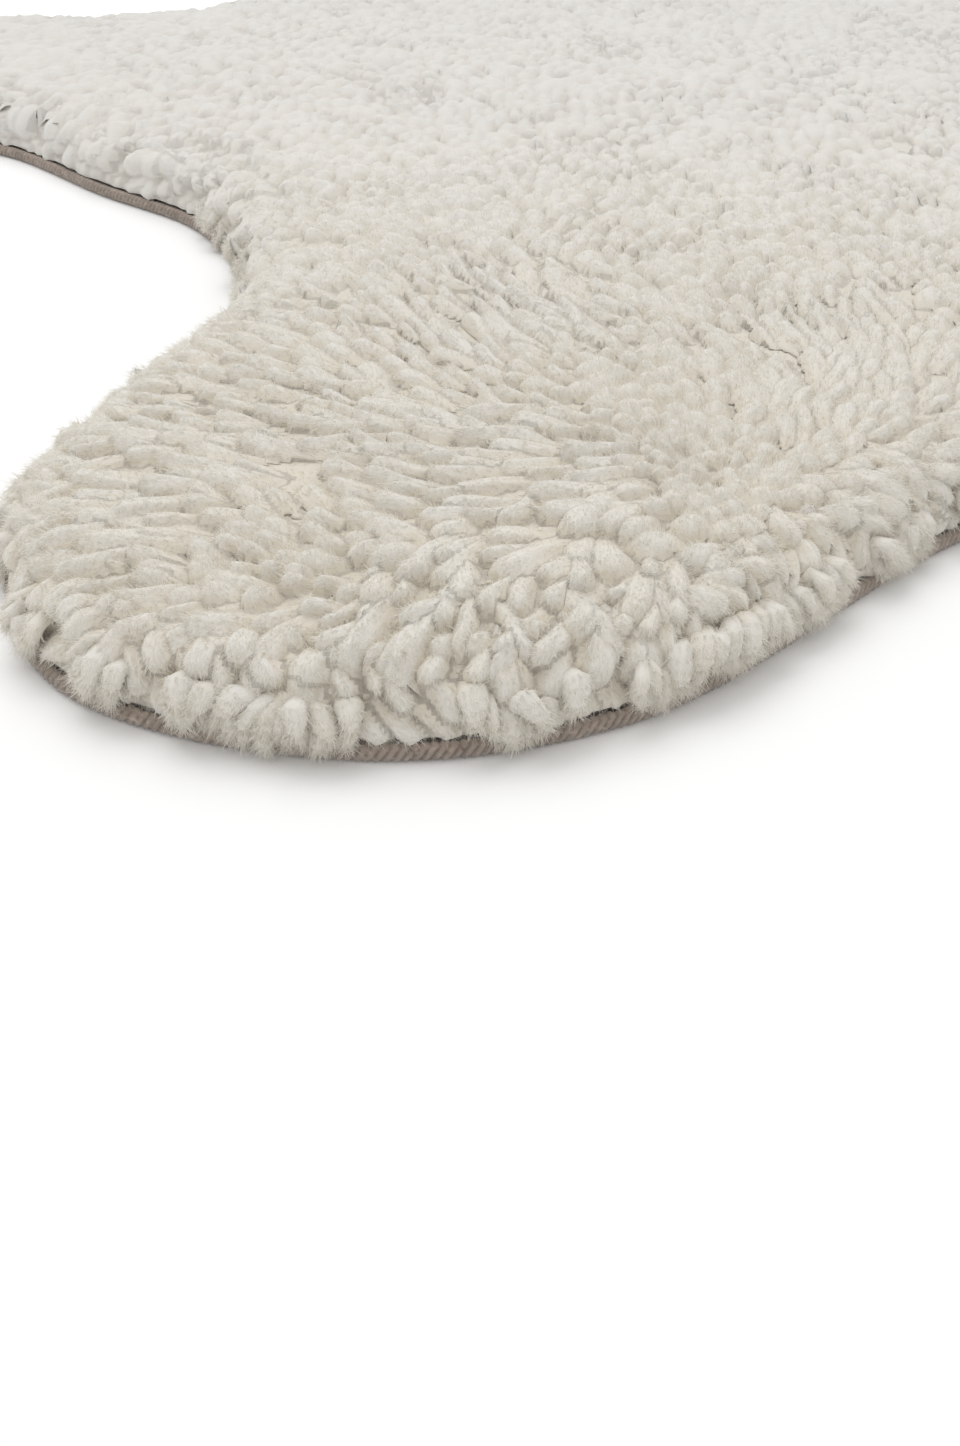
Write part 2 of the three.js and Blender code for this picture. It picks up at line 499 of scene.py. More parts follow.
def wool_material(wool, name="cream_wool"):
    """Cream wool, paler at the heads of the locks and darker and warmer between them, partly for its
    yellower roots and partly as painted shade, with fine fibres along each lock. Painted shade also darkens
    the low streaks of the fibres and greys the far side of the rug.
    """
    recipe = Recipe(name)
    shelter = recipe.attribute("shelter")
    tone = recipe.attribute("tone")
    hang = recipe.attribute("hang")
    fibre = recipe.attribute("fibre", "Vector")
    place = recipe.object_place()

    streaks = recipe.noise(fibre, WOOL_STREAK, detail=3.0, roughness=0.6)
    slubs = recipe.noise(fibre, SLUB_SIZE, detail=2.0)
    fuzz = recipe.noise(place, WOOL_FUZZ, detail=4.0, roughness=0.65)
    patches = recipe.noise(place, PATCH_TONE_SIZE, detail=2.0)

    # Painted shade: the deeper a place lies between the locks, the more it takes the darker root colour,
    # partly its yellower roots and partly painted shade.
    depth = shelter + (streaks - MIDDLE) * GROOVE_STREAKS + (fuzz - MIDDLE) * GROOVE_FUZZ
    colour = recipe.mix(recipe.ramp_between(depth, *GROOVE_RAMP), wool.tip_colour, wool.root_and_shade_colour)
    warmth = tone * WARM_TONE + patches * WARM_PATCHES + slubs * WARM_SLUBS
    warmth = recipe.ramp_between(warmth, *WARM_RAMP)
    colour = recipe.mix(warmth * WARM_SHARE, colour, tinted(wool.tip_colour, WARM_TINT))
    # Painted shade between the strands of fibre, where the streaks are low.
    strands = recipe.ramp_between(streaks, *STRAND_SHADE_RAMP)
    colour = recipe.mix(strands * STRAND_SHADE_SHARE, colour, tinted(wool.tip_colour, STRAND_SHADE_TINT))
    # Painted shade: greyer and darker towards the far side of the rug.
    across = recipe.coordinate(place, "Y")
    far_shade = recipe.ramp_between(across + patches * FAR_SHADE_PATCHES, *FAR_SHADE_RAMP)
    colour = recipe.mix(far_shade * FAR_SHADE_SHARE, colour, tinted(wool.tip_colour, FAR_SHADE_TINT))

    relief = streaks * (LEAST_STREAKS + hang * HANGING_STREAKS) + fuzz * FUZZ_RELIEF
    return recipe.matt(
        colour,
        recipe.bump(relief, WOOL_BUMP),
        Roughness=0.95,
        Specular_IOR_Level=0.06,
        Sheen_Weight=0.4,
        Sheen_Roughness=0.5,
        Sheen_Tint=(1.0, 0.98, 0.94, 1.0),
    )


# Painted light: single fibres are painted paler than the heads of the locks, for the light that they catch,
# and take the painted shade of the grooves they stand in.
FIBRE_LIGHT_TINT = 1.12
FIBRE_RAMP = (0.15, 0.9)
THIN_SHARE = 0.5  # the share of the light that a single fibre lets through


def fibre_material(wool, name="loose_fibre"):
    """Single fibres: as thin as they are, they pass about half of the light that falls on them. They are
    painted paler than the heads of the locks for the light that they catch, and darker with painted shade
    where they stand deep in a groove.
    """
    recipe = Recipe(name)
    # Painted light and shade: paler than the heads in the open, darker towards the root colour deep in a
    # groove.
    depth = recipe.ramp_between(recipe.attribute("shelter"), *FIBRE_RAMP)
    colour = recipe.mix(depth, tinted(wool.tip_colour, FIBRE_LIGHT_TINT), wool.root_and_shade_colour)
    solid = recipe.node("ShaderNodeBsdfDiffuse", inputs={"Color": colour}, output="BSDF")
    thin = recipe.node("ShaderNodeBsdfTranslucent", inputs={"Color": colour}, output="BSDF")
    return recipe.surfaced(recipe.node("ShaderNodeMixShader", inputs={0: THIN_SHARE, 1: solid, 2: thin}))


THREAD_MOTTLE = 1.6 * MM
THREAD_LINT = 0.3 * MM
# Painted shade: the thread is painted darker where it sinks between two wraps.
WRAP_SHADE_TINT, THREAD_PALE = 0.55, 1.45
WRAP_RAMP = (0.0, 0.75)  # how far up a wrap its thread is dark, and has turned to its own colour
PALE_RAMP = (0.72, 1.05)
THREAD_MIX = 0.5  # how much the smaller of two patterns counts beside the larger
THREAD_BUMP, THREAD_RELIEF = 0.3 * MM, 0.8


def thread_material(edge, name="serging_thread"):
    """Taupe cotton thread: matt, a little mottled, and painted darker with shade where it sinks between two
    wraps.
    """
    recipe = Recipe(name)
    wrap = recipe.attribute("wrap")
    place = recipe.object_place()
    mottle = recipe.noise(place, THREAD_MOTTLE, detail=3.0)
    lint = recipe.noise(place, THREAD_LINT, detail=3.0, roughness=0.7)
    dark = tinted(edge.thread_colour, WRAP_SHADE_TINT)
    pale = tinted(edge.thread_colour, THREAD_PALE)
    # Painted shade between the wraps.
    colour = recipe.mix(recipe.ramp_between(wrap, *WRAP_RAMP), dark, edge.thread_colour)
    colour = recipe.mix(recipe.ramp_between(mottle + lint * THREAD_MIX, *PALE_RAMP), colour, pale)
    return recipe.matt(
        colour,
        recipe.bump(lint + mottle * THREAD_MIX, THREAD_BUMP, THREAD_RELIEF),
        Roughness=0.9,
        Specular_IOR_Level=0.2,
        Sheen_Weight=0.3,
        Sheen_Roughness=0.5,
    )


WEAVE_PITCH = 1.1 * MM
BACKING_SLUBS = 4 * MM
# Painted shade: the weave is painted darker in the gaps between its threads.
WEAVE_SHADE_TINT = 0.6
LEAST_WARP, SLUBBED_WARP, SLUB_RELIEF = 0.7, 0.5, 0.3
WEAVE_RAMP = (0.2, 0.9)
BACKING_BUMP = 0.3 * MM


def backing_material(edge, name="backing_weave"):
    """Undyed cotton backing: a plain weave of threads about a millimetre apart, with slubs, and painted
    shade in the gaps between the threads.
    """
    recipe = Recipe(name)
    place = recipe.object_place()
    turn = math.pi / WEAVE_PITCH
    warp = recipe.maths("ABSOLUTE", recipe.maths("SINE", recipe.coordinate(place, "X") * turn))
    weft = recipe.maths("ABSOLUTE", recipe.maths("SINE", recipe.coordinate(place, "Y") * turn))
    slubs = recipe.noise(place, BACKING_SLUBS, detail=3.0)
    weave = recipe.maths("MAXIMUM", warp * (LEAST_WARP + slubs * SLUBBED_WARP), weft)
    dark = tinted(edge.cloth_colour, WEAVE_SHADE_TINT)
    # Painted shade in the gaps between the threads.
    colour = recipe.mix(recipe.ramp_between(weave, *WEAVE_RAMP), dark, edge.cloth_colour)
    bump = recipe.bump(weave + slubs * SLUB_RELIEF, BACKING_BUMP)
    return recipe.matt(colour, bump, Roughness=0.92, Specular_IOR_Level=0.2)


FLOOR_MOTTLE = 0.4
FLOOR_SHADE = 0.985
FLOOR_BUMP = 0.05


def floor_material(stage, name="pale_floor"):
    """A plain pale floor with the faintest mottle."""
    recipe = Recipe(name)
    mottle = recipe.noise(recipe.object_place(), FLOOR_MOTTLE)
    colour = recipe.mix(mottle, stage.floor_colour, tinted(stage.floor_colour, FLOOR_SHADE))
    return recipe.matt(colour, recipe.bump(mottle, MM, FLOOR_BUMP), Roughness=0.85)


# Outline of the cloth

SAME_PLACE = 6  # the number of decimals to which corners in one place agree
OUTLINE_STEPS = 8
EDGE_POINTS = 1200


def chained(points):
    """The points in the order in which they follow one another round the outline."""
    left = list(range(1, len(points)))
    order = [0]
    while left:
        gaps = np.linalg.norm(points[left] - points[order[-1]], axis=1)
        order.append(left.pop(int(np.argmin(gaps))))
    return points[order]


def eased(before, start, end, beyond, share):
    """A place on the smooth curve from start to end, by a share from 0 to 1."""
    return 0.5 * (
        2 * start
        + (end - before) * share
        + (2 * before - 5 * start + 4 * end - beyond) * share**2
        + (3 * start - before - 3 * end + beyond) * share**3
    )


def smooth_closed(points, steps):
    """A closed curve through the points, with that many steps from each to the next."""
    before, after, beyond = (np.roll(points, shift, axis=0) for shift in (1, -1, -2))
    share = (np.arange(steps) / steps)[None, :, None]
    curve = eased(*(some[:, None, :] for some in (before, points, after, beyond)), share)
    return curve.reshape(-1, points.shape[1])


def spaced(points, count):
    """That many points, evenly spaced round a closed outline."""
    closed = np.vstack([points, points[:1]])
    lengths = np.linalg.norm(np.diff(closed, axis=0), axis=1)
    reached = np.concatenate([[0.0], np.cumsum(lengths)])
    wanted = np.linspace(0.0, reached[-1], count, endpoint=False)
    return np.column_stack([np.interp(wanted, reached, closed[:, i]) for i in range(2)])


def outward(points):
    """The unit normals of a closed outline, pointing away from its inside."""
    along = np.roll(points, -1, axis=0) - np.roll(points, 1, axis=0)
    along /= np.linalg.norm(along, axis=1)[:, None]
    return np.column_stack([along[:, 1], -along[:, 0]])


def perimeter(points):
    """The length of a closed outline."""
    return float(np.linalg.norm(np.roll(points, -1, axis=0) - points, axis=1).sum())


def enclosed(points):
    """The area inside a closed outline, which is negative where it runs clockwise."""
    x, y = points.T
    return 0.5 * float(np.sum(x * np.roll(y, -1) - y * np.roll(x, -1)))


def cloth_outline():
    """The smooth edge of the base cloth, anticlockwise from above, read from the CAD sheet."""
    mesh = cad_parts["base_cloth"].data
    places = np.zeros(len(mesh.vertices) * 3)
    mesh.vertices.foreach_get("co", places)
    places = places.reshape(-1, 3)
    top = places[places[:, 2] > CLOTH_THICKNESS / 2][:, :2]
    corners = np.unique(top.round(SAME_PLACE), axis=0)
    curve = smooth_closed(chained(corners), OUTLINE_STEPS)
    return curve if enclosed(curve) > 0 else curve[::-1]


EDGE = cloth_outline()
EDGE = np.roll(EDGE, -int(np.argmax(EDGE[:, 1])), axis=0)
EDGE_SAMPLES = spaced(EDGE, EDGE_POINTS)
EDGE_NORMALS = outward(EDGE_SAMPLES)
EDGE_LENGTH = perimeter(EDGE)
WAY_SOFTNESS = 22 * MM
PORTION = 1500  # how many places are worked out at a time


def read_edge(points):
    """For each point inside the cloth, how deep inside its edge it lies, and which way is out.
    The way out is softened, so that it is shorter where several stretches of the edge are as near."""
    depths = np.zeros(len(points))
    ways = np.zeros((len(points), 2))
    for start in range(0, len(points), PORTION):
        some = points[start : start + PORTION]
        towards = EDGE_SAMPLES[None, :, :] - some[:, None, :]
        gaps = np.linalg.norm(towards, axis=2)
        nearest = gaps.argmin(axis=1)
        row = np.arange(len(some))
        inside = np.einsum("ij,ij->i", towards[row, nearest], EDGE_NORMALS[nearest])
        depth = gaps[row, nearest] * np.sign(inside)
        weights = np.exp(-(gaps - gaps.min(axis=1)[:, None]) / WAY_SOFTNESS)
        way = weights @ EDGE_NORMALS / weights.sum(axis=1)[:, None]
        depths[start : start + PORTION] = depth
        ways[start : start + PORTION] = way
    return depths, ways


class EdgeMap:
    """How deep inside the cloth's edge a place lies, and which way is out, worked out once on a grid
    and read between its points."""

    STEP = 4 * MM
    MARGIN = 12 * MM

    def __init__(self):
        low = EDGE_SAMPLES.min(axis=0) - self.MARGIN
        high = EDGE_SAMPLES.max(axis=0) + self.MARGIN
        self.low = low
        lines = [np.arange(low[i], high[i] + self.STEP, self.STEP) for i in range(2)]
        x, y = np.meshgrid(*lines, indexing="ij")
        depths, ways = read_edge(np.column_stack([x.ravel(), y.ravel()]))
        self.facts = np.column_stack([depths, ways]).reshape(*x.shape, 3)

    def read(self, x, y):
        """The depth, and the two parts of the way out, at each place."""
        across = (np.asarray(x) - self.low[0]) / self.STEP
        up = (np.asarray(y) - self.low[1]) / self.STEP
        i = np.clip(across.astype(int), 0, self.facts.shape[0] - 2)
        j = np.clip(up.astype(int), 0, self.facts.shape[1] - 2)
        a = (across - i)[..., None]
        b = (up - j)[..., None]
        grid = self.facts
        near = grid[i, j] * (1 - a) + grid[i + 1, j] * a
        far = grid[i, j + 1] * (1 - a) + grid[i + 1, j + 1] * a
        return np.moveaxis(near * (1 - b) + far * b, -1, 0)


EDGE_MAP = EdgeMap()


# Planting of the locks

LATTICE_STEP = 3.4 * MM
LATTICE_SCATTER = 0.2  # as a share of the step
EDGE_INSET = 1 * MM
LYING_FROM, LYING_SPAN = 0.65, 0.65  # the lean that a lock starts to lie at, and how much more lays it
LEAST_LEAN, LEAST_SIDE_LEAN, MOST_LEAN = 0.05, 0.9, 1.42
LEAN_SCATTER = 0.12
TOP_SWELL, TOP_SWELL_SIZE = 0.10, 60 * MM  # how the locks' thickness drifts over the top, and how far apart
SLANT, SLANT_SIZE = 0.45, 70 * MM  # how the locks on the side are brushed one way and the other
SIDE_LEAN, SIDE_LEAN_SCATTER, SIDE_TURN_SCATTER = 1.28, 0.08, 0.22
SIDE_THICKNESS, SIDE_SWELL, SIDE_SWELL_SIZE = 1.06, 0.12, 40 * MM
SIDE_OVERRUN = 4 * MM  # how far below the side locks are sown too, so that the last row is whole
SEAM = 30 * MM  # the locks within this length of either end of the side are sown at both

# The oval round a lock that no other stands in, in thicknesses of a lock
OVAL_WIDTH = 0.65
OVAL_LENGTH, OVAL_LYING_LENGTH = 0.70, 0.65
THINNER, THICKER = -0.35, 0.5  # the limits of the scatter in thickness
LOCK_LENGTH, LYING_LENGTH = 1.5, 6.0  # how far a lock shows behind its tip, in radii
RISE_SCATTER = 0.38 * MM
DRIFT_WAVES, DRIFT_SIZES = 7, (0.6, 1.5)
TINY = 1e-9


def drift(points, size, seed):
    """A smooth wandering value for each point, mostly between -1 and 1, with swells of that size."""
    scatter = np.random.RandomState(seed)
    headings = scatter.uniform(0, 2 * math.pi, DRIFT_WAVES)
    sizes = size * scatter.uniform(*DRIFT_SIZES, DRIFT_WAVES)
    phases = scatter.uniform(0, 2 * math.pi, DRIFT_WAVES)
    swell = np.zeros(len(points))
    for heading, length, phase in zip(headings, sizes, phases):
        reach = points[:, 0] * math.cos(heading) + points[:, 1] * math.sin(heading)
        swell += np.sin(reach * 2 * math.pi / length + phase)
    return swell / math.sqrt(DRIFT_WAVES / 2)


def fanned(points):
    """The lean that the crowns give at each point, away from them."""
    lean = np.zeros_like(points)
    for x, y, reach in zip(*CROWNS.values()):
        away = points - (x, y)
        distance = np.linalg.norm(away, axis=1)[:, None]
        growth = 1 - np.exp(-distance / CROWN_QUIET)
        lean += away / (distance + MM) * growth * np.exp(-((distance / reach) ** 2)) * CROWN_LEAN
    return lean


def lattice(low, high, scatter):
    """A loose triangular lattice of places over a rectangle."""
    across = np.arange(low[0], high[0], LATTICE_STEP)
    up = np.arange(low[1], high[1], LATTICE_STEP * math.sqrt(3) / 2)
    x, y = np.meshgrid(across, up)
    x = x + (np.arange(len(up)) % 2)[:, None] * LATTICE_STEP / 2
    points = np.column_stack([x.ravel(), y.ravel()])
    return points + scatter.normal(0, LATTICE_STEP * LATTICE_SCATTER, points.shape)


def thinned(points, headings, along, across, scatter):
    """Which of the points to keep so that none lies in the oval round another, along its heading."""
    tree = KDTree(len(points))
    for number, (x, y) in enumerate(points):
        tree.insert((x, y, 0.0), number)
    tree.balance()
    kept = np.ones(len(points), dtype=bool)
    for number in scatter.permutation(len(points)):
        if not kept[number]:
            continue
        x, y = points[number]
        ahead_x, ahead_y = headings[number]
        for place, other, _ in tree.find_range((x, y, 0.0), along[number]):
            if other == number or not kept[other]:
                continue
            step_x, step_y = place[0] - x, place[1] - y
            forward = (step_x * ahead_x + step_y * ahead_y) / along[number]
            sideways = (step_y * ahead_x - step_x * ahead_y) / across[number]
            if forward**2 + sideways**2 < 1:
                kept[other] = False
    return kept


def unit(vectors):
    """The vectors at a length of 1."""
    return vectors / np.maximum(np.linalg.norm(vectors, axis=-1, keepdims=True), TINY)


def sown(points, heading, lean, size, wool, scatter):
    """Locks at the points that have room for them: how each lies, its sizes and its tone."""
    lying = np.clip((lean - LYING_FROM) / LYING_SPAN, 0, 1)
    ways = np.column_stack([np.cos(heading), np.sin(heading)])
    across = wool.pitch * size * OVAL_WIDTH
    along = wool.pitch * size * (OVAL_LENGTH + OVAL_LYING_LENGTH * lying)
    kept = thinned(points, ways, along, across, scatter)
    count = int(kept.sum())
    lying = lying[kept]
    thickness = 1 + scatter.normal(0, wool.size_scatter, count).clip(THINNER, THICKER)
    radius = 0.5 * wool.pitch * size[kept] * thickness
    return {
        "place": points[kept],
        "way": ways[kept],
        "lean": lean[kept],
        "lying": lying,
        "radius": radius,
        "length": radius * (LOCK_LENGTH + LYING_LENGTH * lying),
        "rise": scatter.normal(0, RISE_SCATTER, count),
        "tone": scatter.uniform(0, 1, count),
        "phase": scatter.uniform(0, 2 * math.pi, (count, 3)),
    }


def sow_top(wool):
    """The locks that are seen from above."""
    scatter = np.random.RandomState(wool.seed)
    points = lattice(EDGE_SAMPLES.min(axis=0), EDGE_SAMPLES.max(axis=0), scatter)
    depths, *ways = EDGE_MAP.read(*points.T)
    inside = depths > EDGE_INSET
    points, depths, ways = points[inside], depths[inside], np.column_stack(ways)[inside]
    brushed = [drift(points, wool.patch_size, wool.seed + seed) for seed in PATCH_SEEDS]
    leans = (np.interp(depths, LIE["depth"], LIE[lean]) for lean in ("outward lean", "brushed lean"))
    out_lean, brush_lean = (lean[:, None] for lean in leans)
    lie = ways * out_lean + fanned(points) + np.column_stack(brushed) * brush_lean
    lean = np.linalg.norm(lie, axis=1) + scatter.normal(0, LEAN_SCATTER, len(points))
    heading = np.arctan2(lie[:, 1], lie[:, 0]) + scatter.normal(0, wool.lie_scatter, len(points))
    size = 1 + TOP_SWELL * drift(points, TOP_SWELL_SIZE, wool.seed + TOP_SWELL_SEED)
    return sown(points, heading, np.clip(lean, LEAST_LEAN, MOST_LEAN), size, wool, scatter)


def sow_side(wool):
    """The locks on the side of the pile, in lengths along the edge and down the side."""
    scatter = np.random.RandomState(wool.seed + SIDE_SEED)
    side_length = float(SIDE_LENGTHS[-1])
    points = lattice((0.0, 0.0), (EDGE_LENGTH, side_length + SIDE_OVERRUN), scatter)
    slant = SLANT * drift(points, SLANT_SIZE, wool.seed + SLANT_SEED)
    heading = math.pi / 2 + slant + scatter.normal(0, SIDE_TURN_SCATTER, len(points))
    lean = SIDE_LEAN + scatter.normal(0, SIDE_LEAN_SCATTER, len(points))
    size = SIDE_THICKNESS + SIDE_SWELL * drift(points, SIDE_SWELL_SIZE, wool.seed + SIDE_SWELL_SEED)
    locks = sown(points, heading, np.clip(lean, LEAST_SIDE_LEAN, MOST_LEAN), size, wool, scatter)
    near_start = locks["place"][:, 0] < SEAM
    near_end = locks["place"][:, 0] > EDGE_LENGTH - SEAM
    after, before = chosen(locks, near_start), chosen(locks, near_end)
    after["place"] = after["place"] + (EDGE_LENGTH, 0.0)
    before["place"] = before["place"] - (EDGE_LENGTH, 0.0)
    return {name: np.concatenate([facts, after[name], before[name]]) for name, facts in locks.items()}


def chosen(locks, mask):
    """The locks that the mask picks out."""
    return {name: facts[mask] for name, facts in locks.items()}


# The skin of the pile: one sheet that is raised over each lock

CREASE_SOFTNESS = 0.7 * MM
GROOVE_DEPTH = 4.2 * MM  # how far the matted wool between locks lies below their tips
STRAND_DEPTH = 0.20 * MM
STRANDS = 4.0
STRAND_WANDER = 0.5
STRAND_UPRIGHT = 0.3  # how deep the strands of an upright lock are, as a share of a lying one's
WINDOW = 1.5  # how far a lock reaches beyond its middle line, in radii
WAVE, WAVE_TURN = 0.16, 1.1  # how far a lock wanders sideways, and how fast, in radii
TIP_WAIST, TIP_LENGTH = 0.22, 1.2  # how much narrower a lying lock is at its tip, and over what length
TIP_STEEPNESS = 0.5
LEAST_SLOPE = 0.01 * MM
TONGUE = 0.3  # how far lying locks reach over what is in front of them
SWELL, SWELL_SIZE = 0.45 * MM, 95 * MM  # how the whole of the top rises and falls, and how far apart
SHADE_START = 0.2 * MM
TOP_HANG, SIDE_HANG = 0.8, 0.6  # how much of the strands' relief shows
STREAK_SHIFT = 7  # sets the streaks of one lock apart from those of the next
STAND_LEAN = 0.6  # how aslant the fibres on the head of an upright lock stand
TOP_REACH = 1.0 * MM  # the top skin ends this far inside the edge, under the side skin
RELIEF_NEAR, RELIEF_FAR = 2.3 * MM, 1.3 * MM
RELIEF_FADE = (0.28, 0.66)  # between these distances from the closest look the pile turns smoother
SIDE_RELIEF = 0.9
SIDE_ROWS = 120
SIDE_STEP = 1.25 * MM
LOWEST_WOOL = 1.2 * MM
HEM_CLOSING = 7.0 * MM  # over this length above the hem the grooves close up,
HEM_GROOVE = 0.9 * MM  # to this depth, so that the wool lies on the serging


def graded(low, high, fine_low, fine_high):
    """Places from low to high, evenly fine between two of them and ever further apart beyond."""

    def onward(start, end):
        """Places from start to end, ever further apart."""
        places = []
        step = FINEST
        while start < end:
            step = min(step * GROWTH, COARSEST)
            start += step
            places.append(start)
        return np.array(places)

    middle = np.arange(fine_low, fine_high, FINEST)
    return np.concatenate([-onward(-fine_low, -low)[::-1], middle, onward(middle[-1], high)])


def raise_locks(first, second, ground, relief, locks):
    """Raises the ground at the crossings of the lines over each lock. Heights are from the tips of
    the wool. Gives them and, for each crossing, the number of the lock that is on top there."""
    heights = ground.copy()
    owner = np.full(ground.shape, -1)
    reach = WINDOW * locks["radius"]
    back = locks["place"] - locks["way"] * locks["length"][:, None]
    low = np.minimum(locks["place"], back) - reach[:, None]
    high = np.maximum(locks["place"], back) + reach[:, None]
    i0, i1 = np.searchsorted(first, low[:, 0]), np.searchsorted(first, high[:, 0])
    j0, j1 = np.searchsorted(second, low[:, 1]), np.searchsorted(second, high[:, 1])
    descent = 1 / np.tan(locks["lean"])
    for n in range(len(reach)):
        if i0[n] == i1[n] or j0[n] == j1[n]:
            continue
        window = np.s_[i0[n] : i1[n], j0[n] : j1[n]]
        x = first[i0[n] : i1[n], None] - locks["place"][n, 0]
        y = second[None, j0[n] : j1[n]] - locks["place"][n, 1]
        ahead_x, ahead_y = locks["way"][n]
        radius, lying = locks["radius"][n], locks["lying"][n]
        phase = locks["phase"][n]
        depth = relief[i0[n], j0[n]]
        u = (x * ahead_x + y * ahead_y) / radius
        v = (y * ahead_x - x * ahead_y) / radius
        behind = np.maximum(-u, 0.0)
        v = v + WAVE * np.sin(behind * WAVE_TURN + phase[0]) * np.minimum(behind, 1.0)
        width = 1.0 - TIP_WAIST * lying * np.exp(-behind / TIP_LENGTH)
        v = v / width
        round_drop = depth * u**2
        slope_drop = behind * radius * descent[n] + LEAST_SLOPE
        back_drop = round_drop * slope_drop / (round_drop + slope_drop + TINY)
        drop = np.where(u > 0, round_drop * (1 + TIP_STEEPNESS * lying), back_drop) + depth * v**2
        strands = np.sin(v * math.pi * STRANDS / 2 + phase[1] + STRAND_WANDER * np.sin(u + phase[2]))
        height = locks["rise"][n] - drop + STRAND_DEPTH * strands * (STRAND_UPRIGHT + lying)
        part = heights[window]
        gap = height - part
        blend = np.maximum(CREASE_SOFTNESS - np.abs(gap), 0.0)
        owner[window][gap > 0] = n
        heights[window] = np.maximum(height, part) + blend**2 / (4 * CREASE_SOFTNESS)
    return heights, owner


def skin_facts(locks, owner, first, second):
    """For each crossing the way and tone of its lock, and its place along and across that lock."""
    number = np.maximum(owner, 0)
    x = first[:, None] - locks["place"][number, 0]
    y = second[None, :] - locks["place"][number, 1]
    way = locks["way"][number]
    along = x * way[..., 0] + y * way[..., 1]
    across = y * way[..., 0] - x * way[..., 1]
    phase = locks["phase"][number]
    spread = 1 - (1 - STREAK_STRETCH) * locks["lying"][number]
    shift = phase[..., 0] + STREAK_SHIFT * phase[..., 1]
    fibre = np.stack([across, along * spread, shift * MM], axis=-1)
    return way, locks["tone"][number], locks["lying"][number], fibre


def top_skin(wool):
    """The top of the pile, as the arrays of one sheet."""
    locks = sow_top(wool)
    first = graded(EDGE_SAMPLES[:, 0].min(), EDGE_SAMPLES[:, 0].max(), *FINE_X)
    second = graded(EDGE_SAMPLES[:, 1].min(), EDGE_SAMPLES[:, 1].max(), *FINE_Y)
    x, y = np.meshgrid(first, second, indexing="ij")
    depths, *_ = EDGE_MAP.read(x, y)
    base = np.interp(depths, SHOULDER["depth"], SHOULDER["height"])
    relief = relief_at(x, y)
    heights, owner = raise_locks(first, second, -GROOVE_DEPTH * relief / RELIEF_NEAR, relief, locks)
    way, tone, lying, fibre = skin_facts(locks, owner, first, second)
    shear = heights[..., None] * way * (TONGUE * lying)[..., None]
    places = np.stack([x + shear[..., 0], y + shear[..., 1], base + heights], axis=-1)
    swell = drift(np.column_stack([x.ravel(), y.ravel()]), SWELL_SIZE, wool.seed + SWELL_SEED)
    places[..., 2] += SWELL * swell.reshape(x.shape)
    # How deep a place lies in the grooves, which sets how much painted shade and root colour it takes.
    shelter = np.clip((SHADE_START - heights) / (wool.groove_shade * relief / RELIEF_NEAR), 0, 1)
    stoop = (STAND_LEAN + (math.pi / 2 - STAND_LEAN) * lying)[..., None]
    return {
        "place": places,
        "normal": unit(np.cross(np.gradient(places, axis=0), np.gradient(places, axis=1))),
        "inside": depths > TOP_REACH,
        "shelter": shelter,
        "tone": tone,
        "hang": TOP_HANG * lying,
        "fibre": fibre,
        "lie": np.concatenate([way * np.sin(stoop), np.cos(stoop)], axis=-1),
    }


def relief_at(x, y):
    """How round the locks are: the drop from the middle of a lock to its side."""
    look = closest_look(bpy.context)
    away = np.hypot(x - look[0], y - look[1])
    return np.interp(away, RELIEF_FADE, (RELIEF_NEAR, RELIEF_FAR))


def smooth_open(points, count):
    """A smooth curve through the points from the first to the last, as that many rows."""
    share = np.linspace(0, len(points) - 1, count)
    padded = np.vstack([2 * points[0] - points[1], points, 2 * points[-1] - points[-2]])
    first = np.minimum(share.astype(int), len(points) - 2)
    return eased(*(padded[first + i] for i in range(4)), (share - first)[:, None])


SIDE_CURVE = smooth_open(np.column_stack([SIDE["outside"], SIDE["height"]]), SIDE_ROWS)
SIDE_LENGTHS = np.concatenate([[0.0], np.cumsum(np.linalg.norm(np.diff(SIDE_CURVE, axis=0), axis=1))])


